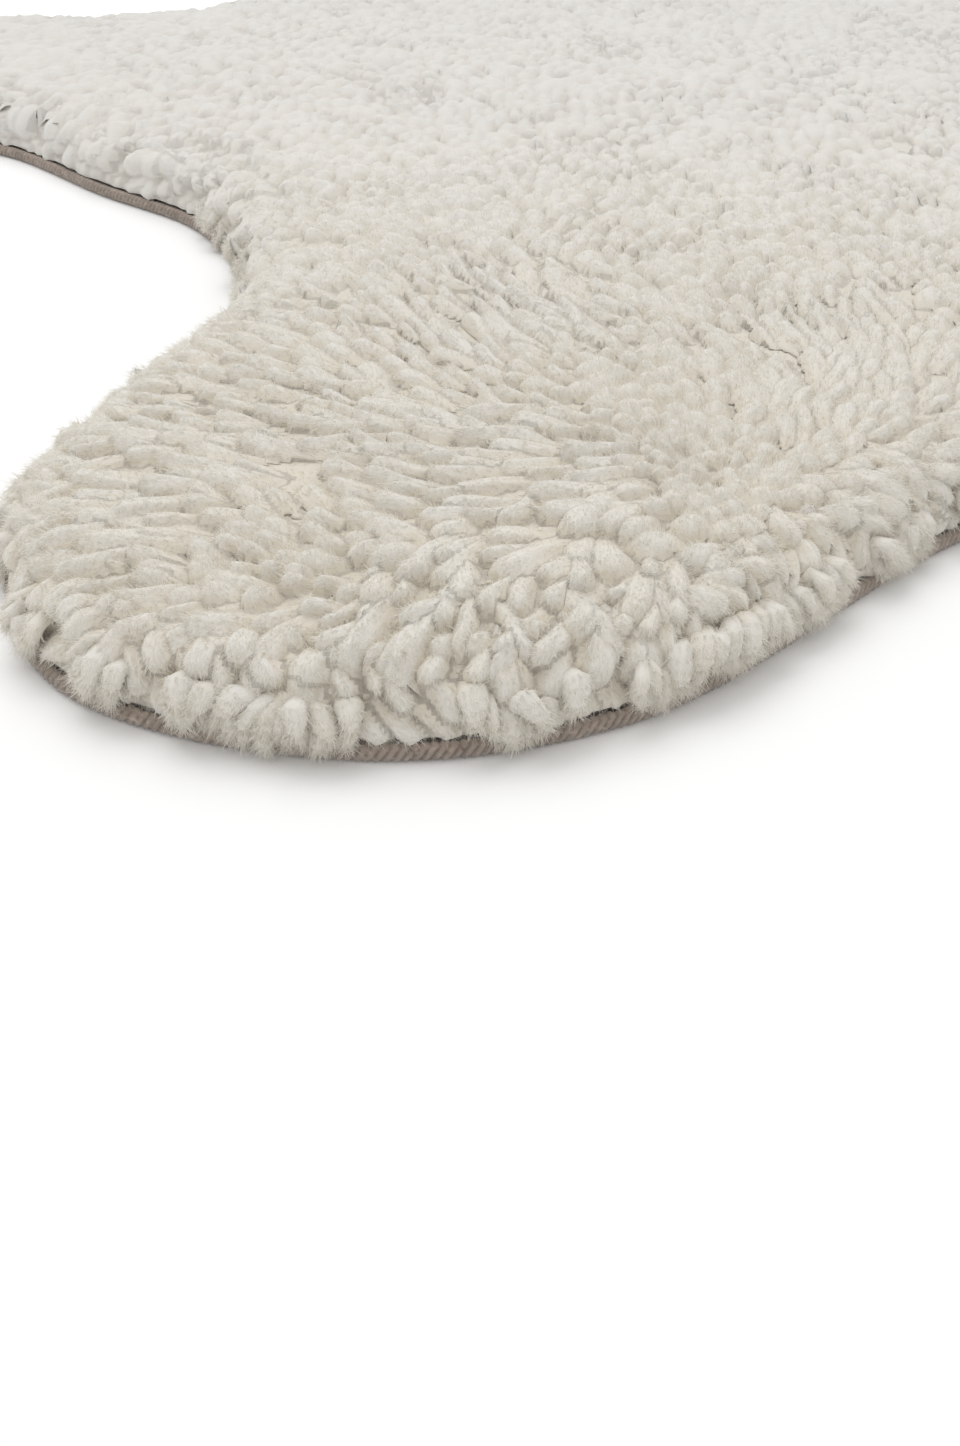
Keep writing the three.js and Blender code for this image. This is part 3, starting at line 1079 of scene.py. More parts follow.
def side_skin(wool):
    """The side of the pile all round, as the arrays of one sheet."""
    locks = sow_side(wool)
    nearest = np.linalg.norm(EDGE_SAMPLES - closest_look(bpy.context), axis=1).argmin()
    middle = EDGE_LENGTH * nearest / len(EDGE_SAMPLES)
    first = graded(0.0, EDGE_LENGTH, middle - FINE_EDGE, middle + FINE_EDGE)
    first = (first - first[0]) * (EDGE_LENGTH / (first[-1] - first[0]))
    second = np.arange(0.0, SIDE_LENGTHS[-1], SIDE_STEP)
    closed = np.vstack([EDGE_SAMPLES, EDGE_SAMPLES[:1]])
    normals = np.vstack([EDGE_NORMALS, EDGE_NORMALS[:1]])
    along = np.linspace(0, EDGE_LENGTH, len(closed))
    edge = np.column_stack([np.interp(first, along, closed[:, i]) for i in range(2)])
    out = unit(np.column_stack([np.interp(first, along, normals[:, i]) for i in range(2)]))
    profile = np.column_stack([np.interp(second, SIDE_LENGTHS, SIDE_CURVE[:, i]) for i in range(2)])
    slope = np.gradient(profile, axis=0)
    facing = unit(np.column_stack([-slope[:, 1], slope[:, 0]]))
    ground = np.full((len(first), len(second)), -GROOVE_DEPTH)
    relief = relief_at(*np.broadcast_arrays(edge[:, :1], edge[:, 1:2]))
    relief = np.broadcast_to(SIDE_RELIEF * relief, ground.shape)
    heights, owner = raise_locks(first, second, ground, relief, locks)
    to_hem = SIDE_LENGTHS[-1] - second
    heights = np.maximum(heights, -np.interp(to_hem, (0.0, HEM_CLOSING), (HEM_GROOVE, GROOVE_DEPTH)))
    way, tone, lying, fibre = skin_facts(locks, owner, first, second)
    reach = profile[None, :, 0] + heights * facing[None, :, 0]
    rise = profile[None, :, 1] + heights * facing[None, :, 1]
    place = np.concatenate([edge[:, None] + out[:, None] * reach[..., None], rise[..., None]], axis=-1)
    place[..., 2] = np.maximum(place[..., 2], LOWEST_WOOL)
    down = unit(slope)
    tangent = np.column_stack([-out[:, 1], out[:, 0]])
    level = np.column_stack([tangent, np.zeros(len(out))])[:, None]
    fallen = np.broadcast_to(down[None, :, 1:], (*reach.shape, 1))
    downward = np.concatenate([out[:, None] * down[None, :, :1], fallen], axis=-1)
    lie = way[..., :1] * level + way[..., 1:] * downward
    return {
        "place": place,
        "normal": unit(np.cross(np.gradient(place, axis=1), np.gradient(place, axis=0))),
        "inside": np.ones(reach.shape, dtype=bool),
        # How deep a place lies in the grooves, for its painted shade and root colour.
        "shelter": np.clip((SHADE_START - heights) / wool.groove_shade, 0, 1),
        "tone": tone,
        "hang": SIDE_HANG + (1 - SIDE_HANG) * lying,
        "fibre": fibre,
        "lie": lie,
    }


def skin_object(name, skin, rows, material, order=1):
    """One piece of a skin: the rows of it from the first to the last given."""
    part = {label: values[rows[0] : rows[1] + 1] for label, values in skin.items()}
    inside = part["inside"]
    whole = inside[:-1, :-1] & inside[1:, :-1] & inside[1:, 1:] & inside[:-1, 1:]
    number = np.arange(inside.size).reshape(inside.shape)
    corners = (number[:-1, :-1], number[1:, :-1], number[1:, 1:], number[:-1, 1:])
    quads = np.stack([corner[whole] for corner in corners[::order]], axis=-1)
    used, quads = np.unique(quads, return_inverse=True)
    flat = {label: values.reshape(inside.size, *values.shape[2:])[used] for label, values in part.items()}
    numbers = {label: flat[label] for label in ("shelter", "tone", "hang")}
    vectors = {"fibre": flat["fibre"]}
    made = mesh_object(name, flat["place"], quads.reshape(-1, 4), NO_TRIANGLES, numbers, vectors)
    made.data.normals_split_custom_set_from_vertices(flat["normal"])
    made.data.materials.append(material)
    dress(made, "wool_pile")
    return made


# Free tufts

TUFT_CENTRE = (-200 * MM, -400 * MM)
TUFT_FADE = (0.22, 0.34)  # between these distances from there the free tufts give way to the side
TUFT_SCATTER = 0.16  # as a share of the distance between tufts
TUFT_STEPS = 4
TUFT_TURN_SCATTER = 0.25
MOST_TUFT_LEAN = 3.0
HEM_RISE, HEM_SIZE = 1.3 * MM, 26 * MM  # how the tufts hang lower and higher, and how far apart
LOWEST_TUFT = 1.2 * MM
TUFT_BENDS, TUFT_HEADS, TUFT_TAPERS = (0.85, 1.2), (0.85, 1.2), (0.85, 1.15)
TUFT_THICKNESSES = (0.6, 1.5)
TUFT_FLATNESSES = (0.75, 1.0)
TUFT_SIDE_BEND = 1.0 * MM
RIDGE_DEPTHS = (0.4, 1.0)


def sow_tufts(wool):
    """The free tufts along the edge, one row of facts for each."""
    scatter = np.random.RandomState(wool.seed + TUFT_SEED)
    tips, rows = [], []
    for number, (outside, pitch) in enumerate(zip(TUFT_ROWS["outside"], TUFT_ROWS["pitch"])):
        line = EDGE_SAMPLES + EDGE_NORMALS * outside
        places = spaced(smooth_closed(line, TUFT_STEPS), int(perimeter(line) / pitch))
        tips.append(places + scatter.normal(0, pitch * TUFT_SCATTER, places.shape))
        rows.append(np.full(len(places), number))
    tips, rows = np.vstack(tips), np.concatenate(rows)
    _, *ways = EDGE_MAP.read(*tips.T)
    ways = unit(np.column_stack(ways))
    count = len(tips)
    row = {name: values[rows] for name, values in TUFT_ROWS.items()}
    side = np.column_stack([-ways[:, 1], ways[:, 0]])
    slant = SLANT * drift(tips, SLANT_SIZE, wool.seed + SLANT_SEED)
    slant = slant + scatter.normal(0, TUFT_TURN_SCATTER, count)
    heading = np.arctan2(*(ways + side * slant[:, None]).T[::-1])
    hem = drift(tips, HEM_SIZE, wool.seed + HEM_SEED)
    facing = row["facing"]
    lean = row["lean"] + scatter.normal(0, LEAN_SCATTER, count)
    tufts = {
        "tip": np.column_stack([tips, np.maximum(row["height"] + HEM_RISE * hem, LOWEST_TUFT)]),
        "depth": -row["outside"],
        "way": ways,
        "facing": np.column_stack([ways * np.sin(facing)[:, None], np.cos(facing)]),
        "lean": np.clip(lean, LEAST_LEAN, MOST_TUFT_LEAN),
        "heading": heading,
        "bend": row["bend"] * scatter.uniform(*TUFT_BENDS, count),
        "radius": row["radius"] * (1 + scatter.normal(0, wool.size_scatter, count)).clip(*TUFT_THICKNESSES),
        "flatness": scatter.uniform(*TUFT_FLATNESSES, count),
        "head": row["head"] * scatter.uniform(*TUFT_HEADS, count),
        "taper": row["taper"] * scatter.uniform(*TUFT_TAPERS, count),
        "side_bend": scatter.normal(0, TUFT_SIDE_BEND, count),
        "tone": scatter.uniform(0, 1, count),
        "phases": scatter.uniform(0, 2 * math.pi, (count, 5)),
        "ridges": scatter.uniform(*RIDGE_DEPTHS, (count, 3)),
    }
    distance = np.hypot(tips[:, 0] - TUFT_CENTRE[0], tips[:, 1] - TUFT_CENTRE[1])
    kept = 1 - np.clip((distance - TUFT_FADE[0]) / (TUFT_FADE[1] - TUFT_FADE[0]), 0, 1)
    return chosen(tufts, (hem < row["hem limit"]) & (scatter.uniform(0, 1, count) < kept))


# Growing of the tufts

ROOT_HEIGHT = CLOTH_THICKNESS + 0.5 * MM
ROOT_DEPTH = 1.5 * MM  # the least distance from a root to the edge of the cloth
ROOT_LEAN = 0.2  # how far the root lies further in than the turn, as a share of the way to the tip
LONGEST_HEAD = 0.6
HEAD_TURN = math.radians(80)  # how far round the head the last ring lies
ROOT_THICKNESS, ROOT_TAPER = 0.80, 0.7
RIDGES = table(("depth", "turns", "twist"), [(0.17, 2, 1.6), (0.09, 3, -4.1), (0.03, 5, 5.4)])
LUMP_DEPTH, LUMP_TURN = 0.06, 11
RIB_DEPTH, RIB_MIDDLE, RIB_TURNS, RIB_TWIST = 0.18, 0.6, 3, 1.6
SHELTER_DEPTH = 7 * MM  # how far below the outermost wool a place counts as fully sheltered
SHELTER_RIM = 0.8
LEAST_HEIGHT = 0.3 * MM


def grow(tufts, sides, shaft_rings, head_rings):
    """The vertices of bent, round-headed tufts, as (tuft, ring, side), with their tips last."""
    count = len(tufts["tip"])
    column = {name: facts.reshape(count, 1) for name, facts in tufts.items() if facts.ndim == 1}
    radius, lean = column["radius"], column["lean"]
    ahead = np.column_stack([np.cos(tufts["heading"]), np.sin(tufts["heading"])])
    side = np.column_stack([-ahead[:, 1], ahead[:, 0], np.zeros(count)])
    axis = np.column_stack([ahead * np.sin(lean), np.cos(lean)])
    tip = tufts["tip"]
    turn_down = tip - axis * column["bend"]
    inner = turn_down[:, :2] - ROOT_LEAN * (tip - turn_down)[:, :2]
    root = np.column_stack([inner, np.full(count, ROOT_HEIGHT)])
    inward = (root[:, :2] - tip[:, :2]) * tufts["way"]
    root_depth = tufts["depth"] - inward.sum(axis=1)
    root[:, :2] -= tufts["way"] * np.maximum(ROOT_DEPTH - root_depth, 0)[:, None]

    span = np.linalg.norm(tip - turn_down, axis=1) + np.linalg.norm(turn_down - root, axis=1)
    length = 0.5 * (span + np.linalg.norm(tip - root, axis=1))[:, None]
    head = np.minimum(column["head"] * radius / length, LONGEST_HEAD)
    shaft_share = np.linspace(0, 1, shaft_rings, endpoint=False)[None, :]
    head_turn = np.linspace(0, HEAD_TURN, head_rings)[None, :]
    shaft = (1 - head) * shaft_share
    along = np.hstack([shaft, 1 - head + head * np.sin(head_turn), np.ones((count, 1))])
    thickness = np.hstack(
        [
            ROOT_THICKNESS + (1 - ROOT_THICKNESS) * np.broadcast_to(shaft_share**ROOT_TAPER, shaft.shape),
            np.cos(head_turn) ** column["taper"],
            np.zeros((count, 1)),
        ]
    )

    steps = along[..., None]
    back = 1 - steps
    centre = back**2 * root[:, None] + 2 * back * steps * turn_down[:, None] + steps**2 * tip[:, None]
    centre += side[:, None] * column["side_bend"][..., None] * 4 * steps * back
    tangent = back * (turn_down - root)[:, None] + steps * (tip - turn_down)[:, None]
    tangent /= np.linalg.norm(tangent, axis=-1)[..., None]
    aslant = np.broadcast_to(side[:, None], tangent.shape)
    upper = np.cross(tangent, aslant)

    turn = (np.arange(sides) * 2 * math.pi / sides)[None, None, :]
    phase = tufts["phases"][:, :, None, None]
    ridge = tufts["ridges"][:, :, None, None]
    uneven = LUMP_DEPTH * np.sin(LUMP_TURN * steps + phase[:, 3])
    for number, (depth, turns, twist) in enumerate(zip(*RIDGES.values())):
        uneven = uneven + depth * ridge[:, number] * np.sin(turns * turn + phase[:, number] + twist * steps)
    ribs = np.abs(np.sin(RIB_TURNS * turn + phase[:, 4] + RIB_TWIST * steps)) - RIB_MIDDLE
    reach = radius[..., None] * thickness[..., None] * (1 + uneven + RIB_DEPTH * ribs * steps)

    rise = (np.sin(turn) * column["flatness"][..., None])[..., None]
    around = np.cos(turn)[..., None] * aslant[:, :, None, :] + rise * upper[:, :, None, :]
    vertices = centre[:, :, None, :] + around * reach[..., None]
    vertices[..., 2] = np.maximum(vertices[..., 2], LEAST_HEIGHT)

    # How far a place is sunk below the outermost wool, which sets how much painted shade and root colour it
    # takes.
    facing = tufts["facing"][:, None, None, :]
    outermost = (tip * tufts["facing"]).sum(axis=1)[:, None, None]
    outermost = outermost + radius[..., None] * SHELTER_RIM * np.abs(np.sin(lean))[..., None]
    sunk = outermost - (vertices * facing).sum(axis=-1)

    reached = steps * length[..., None]
    fibre = np.empty((*reach.shape, 3))
    fibre[..., 0] = np.cos(turn) * reach + column["tone"][..., None]
    fibre[..., 1] = np.sin(turn) * reach + phase[:, 0]
    fibre[..., 2] = STREAK_STRETCH * reached
    return {
        "vertices": vertices,
        "shelter": np.clip(sunk / SHELTER_DEPTH, 0, 1),
        "lie": np.broadcast_to(np.gradient(centre, axis=1)[:, :, None], vertices.shape),
        "tone": np.broadcast_to(column["tone"][..., None], reach.shape),
        "hang": np.ones(reach.shape),
        "fibre": fibre,
    }


def tuft_faces(count, rings, sides):
    """Quads between the rings of each tuft, and the triangles that close its head."""
    corner = np.arange(sides)
    beside = (corner + 1) % sides
    first = (np.arange(count) * (rings * sides + 1))[:, None, None]
    ring = (np.arange(rings - 1) * sides)[None, :, None]
    base = first + ring
    around = [base + corner, base + beside, base + beside + sides, base + corner + sides]
    quads = np.stack(around, axis=-1).reshape(-1, 4)
    last = first[:, 0] + (rings - 1) * sides
    tip = np.broadcast_to(first[:, 0] + rings * sides, (count, sides))
    triangles = np.stack([last + corner, last + beside, tip], axis=-1).reshape(-1, 3)
    return quads, triangles


# Meshes

NO_QUADS = np.zeros((0, 4), dtype=int)
NO_TRIANGLES = np.zeros((0, 3), dtype=int)


def mesh_object(name, vertices, quads, triangles, numbers=None, vectors=None):
    """A smooth mesh object from arrays, with one value or vector for each vertex."""
    mesh = bpy.data.meshes.new(name)
    mesh.vertices.add(len(vertices))
    mesh.vertices.foreach_set("co", np.ascontiguousarray(vertices, dtype=np.float32).ravel())
    corners = np.concatenate([quads.ravel(), triangles.ravel()]).astype(np.int32)
    sizes = np.concatenate([np.full(len(quads), 4), np.full(len(triangles), 3)]).astype(np.int32)
    starts = np.concatenate([[0], np.cumsum(sizes)[:-1]]).astype(np.int32)
    mesh.loops.add(len(corners))
    mesh.loops.foreach_set("vertex_index", corners)
    mesh.polygons.add(len(sizes))
    mesh.polygons.foreach_set("loop_start", starts)
    for label, values in (numbers or {}).items():
        layer = mesh.attributes.new(label, "FLOAT", "POINT")
        layer.data.foreach_set("value", np.ascontiguousarray(values, dtype=np.float32).ravel())
    for label, values in (vectors or {}).items():
        layer = mesh.attributes.new(label, "FLOAT_VECTOR", "POINT")
        layer.data.foreach_set("vector", np.ascontiguousarray(values, dtype=np.float32).ravel())
    mesh.update(calc_edges=True)
    mesh.validate()
    mesh.shade_smooth()
    made = bpy.data.objects.new(name, mesh)
    bpy.context.scene.collection.objects.link(made)
    return made


def flattened(grown):
    """The arrays of grown tufts with the tip of each as one vertex after its rings."""
    flat = {}
    for name, values in grown.items():
        rings, tips = values[:, :-1], values[:, -1:, :1]
        shape = (len(values), -1, 3) if values.ndim == 4 else (len(values), -1)
        flat[name] = np.concatenate([rings.reshape(shape), tips.reshape(shape)], axis=1)
    return flat


def tufts_object(name, tufts, material, sides, shaft_rings, head_rings):
    """One object that holds all the tufts given."""
    flat = flattened(grow(tufts, sides, shaft_rings, head_rings))
    quads, triangles = tuft_faces(len(tufts["tip"]), shaft_rings + head_rings, sides)
    vertices = flat.pop("vertices").reshape(-1, 3)
    flat.pop("lie")
    vectors = {"fibre": flat.pop("fibre").reshape(-1, 3)}
    made = mesh_object(name, vertices, quads, triangles, flat, vectors)
    made.data.materials.append(material)
    return made


def dress(piece, node):
    """The piece rides on the rug, and stands for a CAD node where one is given, which is hidden."""
    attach(piece, BODY)
    if node:
        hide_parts(node)


# Flat pieces


def rings_object(name, rings, material, numbers=None, closed=False):
    """A skin over rings of equal length. The first and last ring are joined too if it is closed."""
    rings = np.asarray(rings)
    count, points = rings.shape[:2]
    ring = np.arange(count if closed else count - 1)[:, None]
    corner = np.arange(points)[None, :]
    beside = (corner + 1) % points
    above = (ring + 1) % count
    lower_two = [ring * points + corner, ring * points + beside]
    upper_two = [above * points + beside, above * points + corner]
    quads = np.stack([*lower_two, *upper_two], axis=-1).reshape(-1, 4)
    vertices = rings.reshape(-1, 3)
    triangles = NO_TRIANGLES
    if not closed:
        middles = np.array([rings[0].mean(axis=0), rings[-1].mean(axis=0)])
        middles[:, :2] = 0
        first, last = count * points, count * points + 1
        lower = np.stack([beside[0], corner[0], np.full(points, first)], axis=-1)
        top = (count - 1) * points
        upper = np.stack([top + corner[0], top + beside[0], np.full(points, last)], axis=-1)
        vertices = np.vstack([vertices, middles])
        triangles = np.vstack([lower, upper])
    made = mesh_object(name, vertices, quads, triangles, numbers)
    made.data.materials.append(material)
    return made


def lifted(points, height):
    """The flat points, at that height or at those heights."""
    return np.column_stack([points, np.broadcast_to(height, len(points))])


CLOTH_POINTS = 1100
CLOTH_EASE = 0.4 * MM


def lay_cloth(edge):
    """The backing cloth: one flat sheet, with its edge eased over."""
    line = spaced(EDGE, CLOTH_POINTS)
    inner = line - outward(line) * CLOTH_EASE
    rings = [
        lifted(inner, 0.0),
        lifted(line, CLOTH_EASE),
        lifted(line, CLOTH_THICKNESS - CLOTH_EASE),
        lifted(inner, CLOTH_THICKNESS),
    ]
    made = rings_object("cloth_sheet", rings, backing_material(edge))
    dress(made, "base_cloth")
    return made


SERGING_STEPS = 2  # steps of the mesh to each wrap of thread
SERGING_CORNERS = 8
SERGING_SQUARENESS = 0.62  # 1 would be an ellipse, and 0 a sharp square
SERGING_POINTS, SERGING_CURVE_STEPS = 400, 6
SERGING_SLANT = 0.6
SERGING_SLACK = (0.55, 1.25)  # how far wraps differ in how deep the thread sinks beside them
UPRIGHT_SINK = 0.7


def squared(value):
    """A sine or cosine, drawn out towards the corners of a square."""
    return math.copysign(abs(value) ** SERGING_SQUARENESS, value)


def serge_edge(edge, scatter):
    """The thread wrapped over the cloth's edge: a rounded band, ribbed by its wraps."""
    width = SERGING_REACH / 2
    middle = spaced(EDGE + outward(EDGE) * width, SERGING_POINTS)
    wraps = int(perimeter(middle) / edge.rib_pitch)
    line = spaced(smooth_closed(middle, SERGING_CURVE_STEPS), wraps * SERGING_STEPS)
    ways = outward(line)
    step = np.arange(len(line))
    wrap_number = step // SERGING_STEPS
    slack = scatter.uniform(*SERGING_SLACK, wraps)[wrap_number]
    rings = []
    wrap_values = []
    for corner in range(SERGING_CORNERS):
        angle = 2 * math.pi * corner / SERGING_CORNERS
        across, upright = squared(math.cos(angle)), squared(math.sin(angle))
        slope = SERGING_SLANT * math.sin(angle)
        crest = np.abs(np.cos(math.pi * (step / SERGING_STEPS + slope)))
        sunk = edge.rib_depth * (1 - crest) * slack
        reach = width - sunk
        rise = SERGING_HEIGHT / 2 - sunk * UPRIGHT_SINK
        height = np.maximum(SERGING_HEIGHT / 2 + rise * upright, 0.0)
        rings.append(lifted(line + ways * (reach * across)[:, None], height))
        wrap_values.append(crest)
    wrap = {"wrap": np.array(wrap_values)}
    made = rings_object("serged_edge", rings, thread_material(edge), wrap, closed=True)
    dress(made, "edge_serging")
    return made


# Loose fibres

FIBRE_FADE = (0.30, 0.55)  # between these distances from the closest look the loose fibres thin out
FIBRE_SPREAD = 1.2 * MM
FIBRE_SINK = 0.15 * MM  # how deep a fibre starts in the wool
FIBRE_SLANTS = (0.15, 0.95)
FIBRE_LIE = 0.9
FIBRE_TURN_SCATTER, FIBRE_WIDTH_SCATTER = 0.38, 0.35
FIBRE_HALF_WIDTHS = (0.05 * MM, 0.11 * MM)
FIBRE_SHAPE = 4.0  # the higher this is, the more alike the fibres are in length
SHORTEST_FIBRE, LONGEST_FIBRE = 0.2, 2.0  # as shares of the mean
FIBRE_SHARE = 1.1  # the share of fibres where nothing shelters the wool, which shelter is taken from
FIBRE_LEAST_HEIGHT = 0.4 * MM
# The point of a fibre takes less of the painted shade of its groove than its foot.
FIBRE_SHELTER = np.array([1.0, 1.0, 0.5])  # how sheltered the two corners and the point of a fibre are
TUFT_GROUND = {"sides": 12, "shaft_rings": 3, "head_rings": 5}
TUFT_LENGTH = 12 * MM
NUDGE = 1e-6  # keeps the cross product of two parallel ways from being nothing


def skin_ground(skin, closest_look):
    """The places on a skin that fibres can stand on."""
    place = skin["place"]
    cell = np.linalg.norm(np.cross(np.gradient(place, axis=0), np.gradient(place, axis=1)), axis=-1)
    away = np.hypot(place[..., 0] - closest_look[0], place[..., 1] - closest_look[1])
    weight = cell * skin["inside"] * np.interp(away, FIBRE_FADE, (1.0, 0.0))
    here = weight > 0
    ground = {label: skin[label][here] for label in ("place", "normal", "lie", "shelter", "tone")}
    return {**ground, "weight": weight[here]}


def tuft_ground(tufts):
    """The places on the free tufts that fibres can stand on."""
    grown = grow(tufts, **TUFT_GROUND)
    ring_height = TUFT_LENGTH / (TUFT_GROUND["shaft_rings"] + TUFT_GROUND["head_rings"])
    skin = grown["vertices"]
    ring = slice(1, -1)
    core = skin.mean(axis=2, keepdims=True)
    cell = 2 * math.pi * tufts["radius"] / TUFT_GROUND["sides"] * ring_height
    ground = {
        "place": skin[:, ring],
        "normal": unit(skin - core)[:, ring],
        "lie": unit(grown["lie"])[:, ring],
        "shelter": grown["shelter"][:, ring],
        "tone": grown["tone"][:, ring],
        "weight": np.broadcast_to(cell[:, None, None], grown["tone"][:, ring].shape),
    }
    return {label: values.reshape(-1, *values.shape[3:]) for label, values in ground.items()}


def scatter_fibres(wool, grounds, material):
    """The fuzz on the wool in front: each fibre is one narrow spike that leaves the side of a lock."""
    scatter = np.random.RandomState(wool.seed + FIBRE_SEED)
    ground = {label: np.concatenate([g[label] for g in grounds]) for label in grounds[0]}
    chance = ground["weight"] * (FIBRE_SHARE - ground["shelter"])
    count = wool.loose_fibres
    picked = scatter.choice(len(chance), count, p=chance / chance.sum())
    lift, lie = ground["normal"][picked], ground["lie"][picked]
    across = unit(np.cross(lift, lie) + NUDGE)
    onward = np.cross(across, lift)
    spread = scatter.uniform(-0.5, 0.5, (count, 2)) * FIBRE_SPREAD
    foot = ground["place"][picked] + across * spread[:, :1] + onward * spread[:, 1:] - lift * FIBRE_SINK
    slant = scatter.uniform(*FIBRE_SLANTS, count)[:, None]
    heading = unit(lift * slant + lie * FIBRE_LIE + scatter.normal(0, FIBRE_TURN_SCATTER, (count, 3)))
    share = scatter.gamma(FIBRE_SHAPE, 1 / FIBRE_SHAPE, count).clip(SHORTEST_FIBRE, LONGEST_FIBRE)
    length = share * wool.fibre_length
    wide = unit(np.cross(heading, lift + scatter.normal(0, FIBRE_WIDTH_SCATTER, (count, 3))))
    half = wide * scatter.uniform(*FIBRE_HALF_WIDTHS, count)[:, None]
    point = foot + heading * length[:, None]
    corners = np.stack([foot - half, foot + half, point], axis=1)
    corners[..., 2] = np.maximum(corners[..., 2], FIBRE_LEAST_HEIGHT)
    shelter = ground["shelter"][picked][:, None] * FIBRE_SHELTER
    tone = np.repeat(ground["tone"][picked][:, None], 3, axis=1)
    left = corners[:, 0, 0] < np.median(corners[:, 0, 0])
    for name, here in zip(FIBRE_PIECES, (left, ~left)):
        triangles = np.arange(3 * here.sum()).reshape(-1, 3)
        numbers = {"shelter": shelter[here].ravel(), "tone": tone[here].ravel()}
        made = mesh_object(name, corners[here].reshape(-1, 3), NO_QUADS, triangles, numbers)
        made.data.materials.append(material)
        dress(made, None)


# Operators

worked_out = {}


def once(name, wool, work):
    """What the work gives with the wool as it is set, worked out the first time that it is asked for."""
    settings = [getattr(wool, label) for label in wool.__annotations__]
    state = (name, *(value if isinstance(value, (int, float)) else tuple(value) for value in settings))
    if state not in worked_out:
        worked_out[state] = work(wool)
    return worked_out[state]


def skins_of(context):
    """The top and the side of the pile, and its free tufts."""
    wool = context.scene.rug_wool
    return once("top", wool, top_skin), once("side", wool, side_skin), once("tufts", wool, sow_tufts)


def closest_look(context):
    """The place on the floor under the camera, from which the fore foot is seen closest."""
    return np.array(context.scene.rug_stage.camera_place[:2])


def wool_of(context):
    """The material of the wool, made the first time that it is asked for."""
    name = "cream_wool"
    return bpy.data.materials.get(name) or wool_material(context.scene.rug_wool, name)


class RUG_OT_lay_cloth(Operator):
    """Lay the backing cloth"""

    bl_idname = "rug.lay_cloth"
    bl_label = "Backing Cloth"

    def execute(self, context):
        lay_cloth(context.scene.rug_edge)
        return {"FINISHED"}


class RUG_OT_serge_edge(Operator):
    """Serge the edge of the cloth with thread"""

    bl_idname = "rug.serge_edge"
    bl_label = "Serged Edge"

    def execute(self, context):
        serge_edge(context.scene.rug_edge, np.random.RandomState(SERGING_SEED))
        return {"FINISHED"}


class RUG_OT_raise_pile(Operator):
    """Raise the top and the side of the wool pile, finer in front of the camera"""

    bl_idname = "rug.raise_pile"
    bl_label = "Wool Pile"

    def execute(self, context):
        top, side, _ = skins_of(context)
        filled = np.cumsum(top["inside"].sum(axis=1))
        if not filled[-1]:
            raise RuntimeError("the top of the pile has no place inside the edge of the cloth")
        shares = np.linspace(0, filled[-1], len(TOP_PIECES) + 1)[1:-1]
        ends = [0, *np.searchsorted(filled, shares), len(filled) - 1]
        for name, start, end in zip(TOP_PIECES, ends[:-1], ends[1:]):
            skin_object(name, top, (start, end), wool_of(context))
        skin_object(SIDE_PIECE, side, (0, len(side["inside"]) - 1), wool_of(context), order=-1)
        return {"FINISHED"}


class RUG_OT_hang_tufts(Operator):
    """Hang free tufts of wool over the edge"""

    bl_idname = "rug.hang_tufts"
    bl_label = "Hanging Tufts"

    def execute(self, context):
        *_, tufts = skins_of(context)
        away = np.linalg.norm(tufts["tip"][:, :2] - closest_look(context), axis=1)
        left = np.ones(len(away), dtype=bool)
        for name, detail in TUFT_PIECES.items():
            here = left & (away < detail["within"])
            left &= ~here
            if not here.any():
                raise RuntimeError(f"no tuft stands within the reach of {name}")
            shape = detail["sides"], detail["shaft"], detail["head"]
            made = tufts_object(name, chosen(tufts, here), wool_of(context), *shape)
            dress(made, "wool_pile")
        return {"FINISHED"}


class RUG_OT_scatter_fibres(Operator):
    """Scatter loose fibres over the wool in front"""

    bl_idname = "rug.scatter_fibres"
    bl_label = "Loose Fibres"

    def execute(self, context):
        wool = context.scene.rug_wool
        top, side, tufts = skins_of(context)
        look = closest_look(context)
        near = np.linalg.norm(tufts["tip"][:, :2] - look, axis=1) < FIBRE_FADE[1]
        grounds = [skin_ground(top, look), skin_ground(side, look), tuft_ground(chosen(tufts, near))]
        scatter_fibres(wool, grounds, fibre_material(wool))
        return {"FINISHED"}


class RUG_OT_set_stage(Operator):
    """Set the floor, the lights and the camera"""

    bl_idname = "rug.set_stage"
    bl_label = "Stage"

    def execute(self, context):
        stage = context.scene.rug_stage
        set_floor(stage)
        set_lights(context, stage)
        set_camera(context, stage)
        return {"FINISHED"}


FLOOR_REACH, FLOOR_DROP = 6.0, 0.2 * MM
WHITE = (1.0, 1.0, 1.0, 1.0)
SOFT_BOX_PLACE = (-0.7, 0.5, 2.0)
SOFT_BOX_AIM = (-0.1, -0.2, 0.0)
SOFT_BOX_SIZE = (2.2, 1.6)
SENSOR_WIDTH = 36.0  # in millimetres
NEAREST_SEEN = 0.01


def set_floor(stage):
    """A large square floor, just under the rug."""
    square = np.array([(-1, -1), (1, -1), (1, 1), (-1, 1)])
    corners = lifted(square * FLOOR_REACH, -FLOOR_DROP)
    floor = mesh_object("floor", corners, np.array([[0, 1, 2, 3]]), NO_TRIANGLES)
    floor.data.materials.append(floor_material(stage))


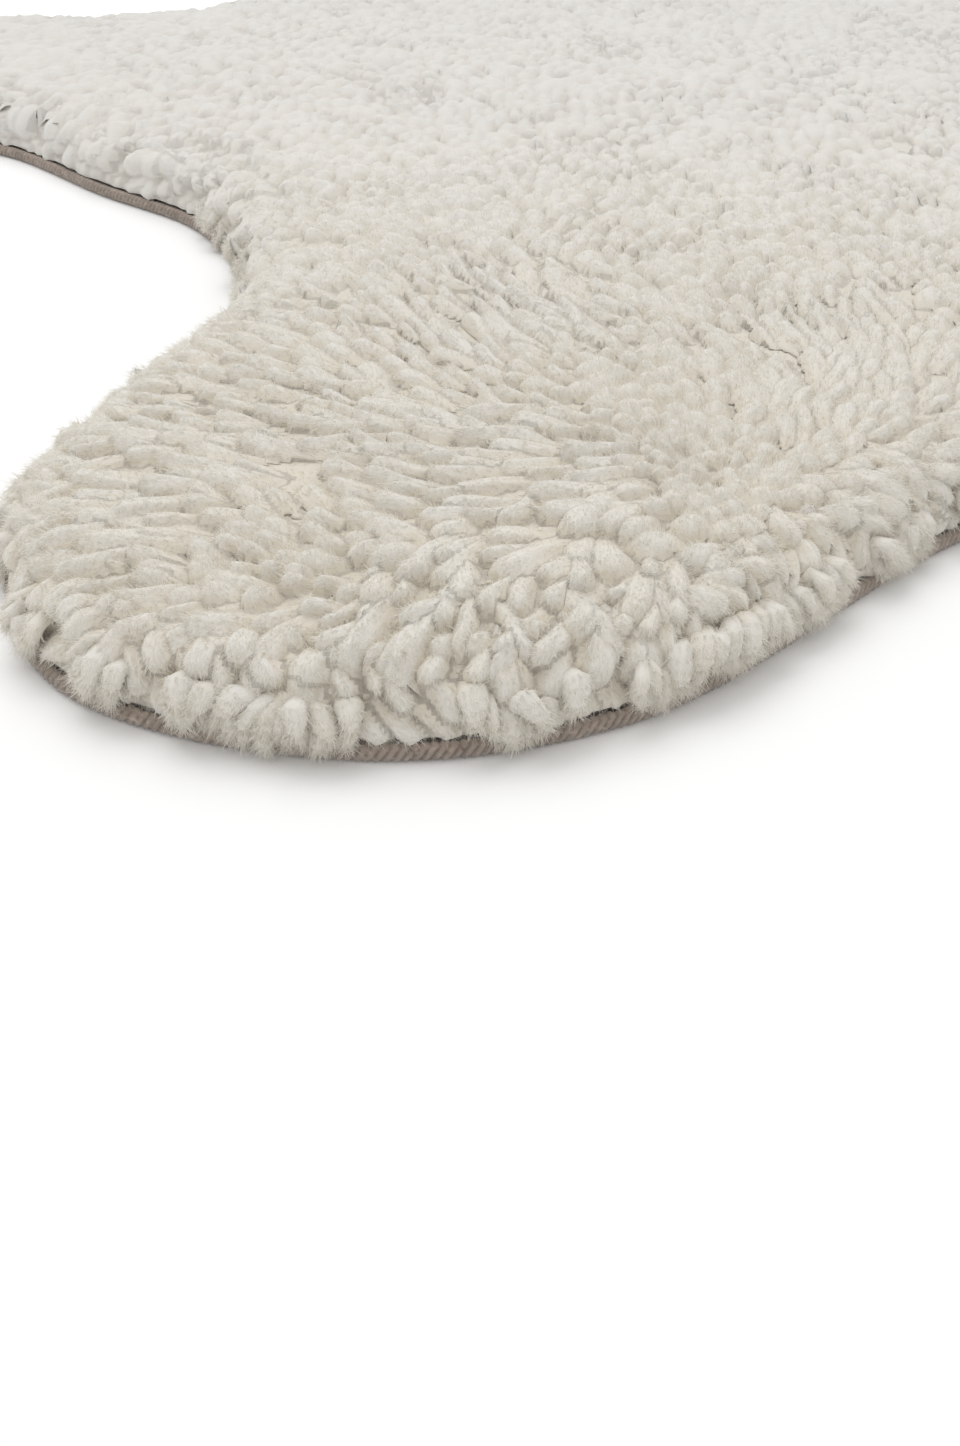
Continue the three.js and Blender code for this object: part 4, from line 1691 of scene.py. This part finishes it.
def set_lights(context, stage):
    """White light from all round, and a soft box over the rug."""
    world = bpy.data.worlds.new("room")
    world.use_nodes = True
    background = world.node_tree.nodes["Background"]
    background.inputs["Color"].default_value = WHITE
    background.inputs["Strength"].default_value = stage.sky_strength
    context.scene.world = world
    lamp = bpy.data.lights.new("soft_box", "AREA")
    lamp.shape = "RECTANGLE"
    lamp.size, lamp.size_y = SOFT_BOX_SIZE
    lamp.energy = stage.lamp_power
    box = bpy.data.objects.new("soft_box", lamp)
    box.location = SOFT_BOX_PLACE
    x, y, z = np.array(SOFT_BOX_AIM) - np.array(SOFT_BOX_PLACE)
    box.rotation_euler = (math.atan2(math.hypot(x, y), -z), 0.0, math.atan2(-x, y))
    context.scene.collection.objects.link(box)


def set_camera(context, stage):
    """The camera, where the rug is looked at from."""
    data = bpy.data.cameras.new("camera")
    data.lens = stage.lens
    data.sensor_width = SENSOR_WIDTH
    data.clip_start = NEAREST_SEEN
    camera = bpy.data.objects.new("camera", data)
    camera.location = stage.camera_place
    camera.rotation_euler = (math.pi / 2 - stage.camera_pitch, 0.0, stage.camera_turn)
    context.scene.collection.objects.link(camera)
    context.scene.camera = camera
    context.scene.view_settings.view_transform = "Standard"


class RUG_PT_pieces(Panel):
    """Lists the pieces of the rug and what can be changed on them"""

    bl_idname = "RUG_PT_pieces"
    bl_label = "Animal-Shaped Rug"
    bl_space_type = "VIEW_3D"
    bl_region_type = "UI"
    bl_category = "Rug"

    def draw(self, context):
        layout = self.layout
        for group in (context.scene.rug_wool, context.scene.rug_edge, context.scene.rug_stage):
            box = layout.box()
            for name in group.__annotations__:
                box.prop(group, name)
        for operator in OPERATORS:
            layout.operator(operator.bl_idname)


OPERATORS = (
    RUG_OT_set_stage,
    RUG_OT_lay_cloth,
    RUG_OT_serge_edge,
    RUG_OT_raise_pile,
    RUG_OT_hang_tufts,
    RUG_OT_scatter_fibres,
)
CLASSES = (WoolSettings, EdgeSettings, StageSettings, *OPERATORS, RUG_PT_pieces)


def register():
    for each in CLASSES:
        bpy.utils.register_class(each)
    bpy.types.Scene.rug_wool = PointerProperty(type=WoolSettings)
    bpy.types.Scene.rug_edge = PointerProperty(type=EdgeSettings)
    bpy.types.Scene.rug_stage = PointerProperty(type=StageSettings)


def unregister():
    del bpy.types.Scene.rug_wool
    del bpy.types.Scene.rug_edge
    del bpy.types.Scene.rug_stage
    for each in reversed(CLASSES):
        bpy.utils.unregister_class(each)


def main():
    register()
    bpy.ops.rug.set_stage()
    bpy.ops.rug.lay_cloth()
    bpy.ops.rug.serge_edge()
    bpy.ops.rug.raise_pile()
    bpy.ops.rug.hang_tufts()
    bpy.ops.rug.scatter_fibres()


if __name__ == "__main__":
    main()
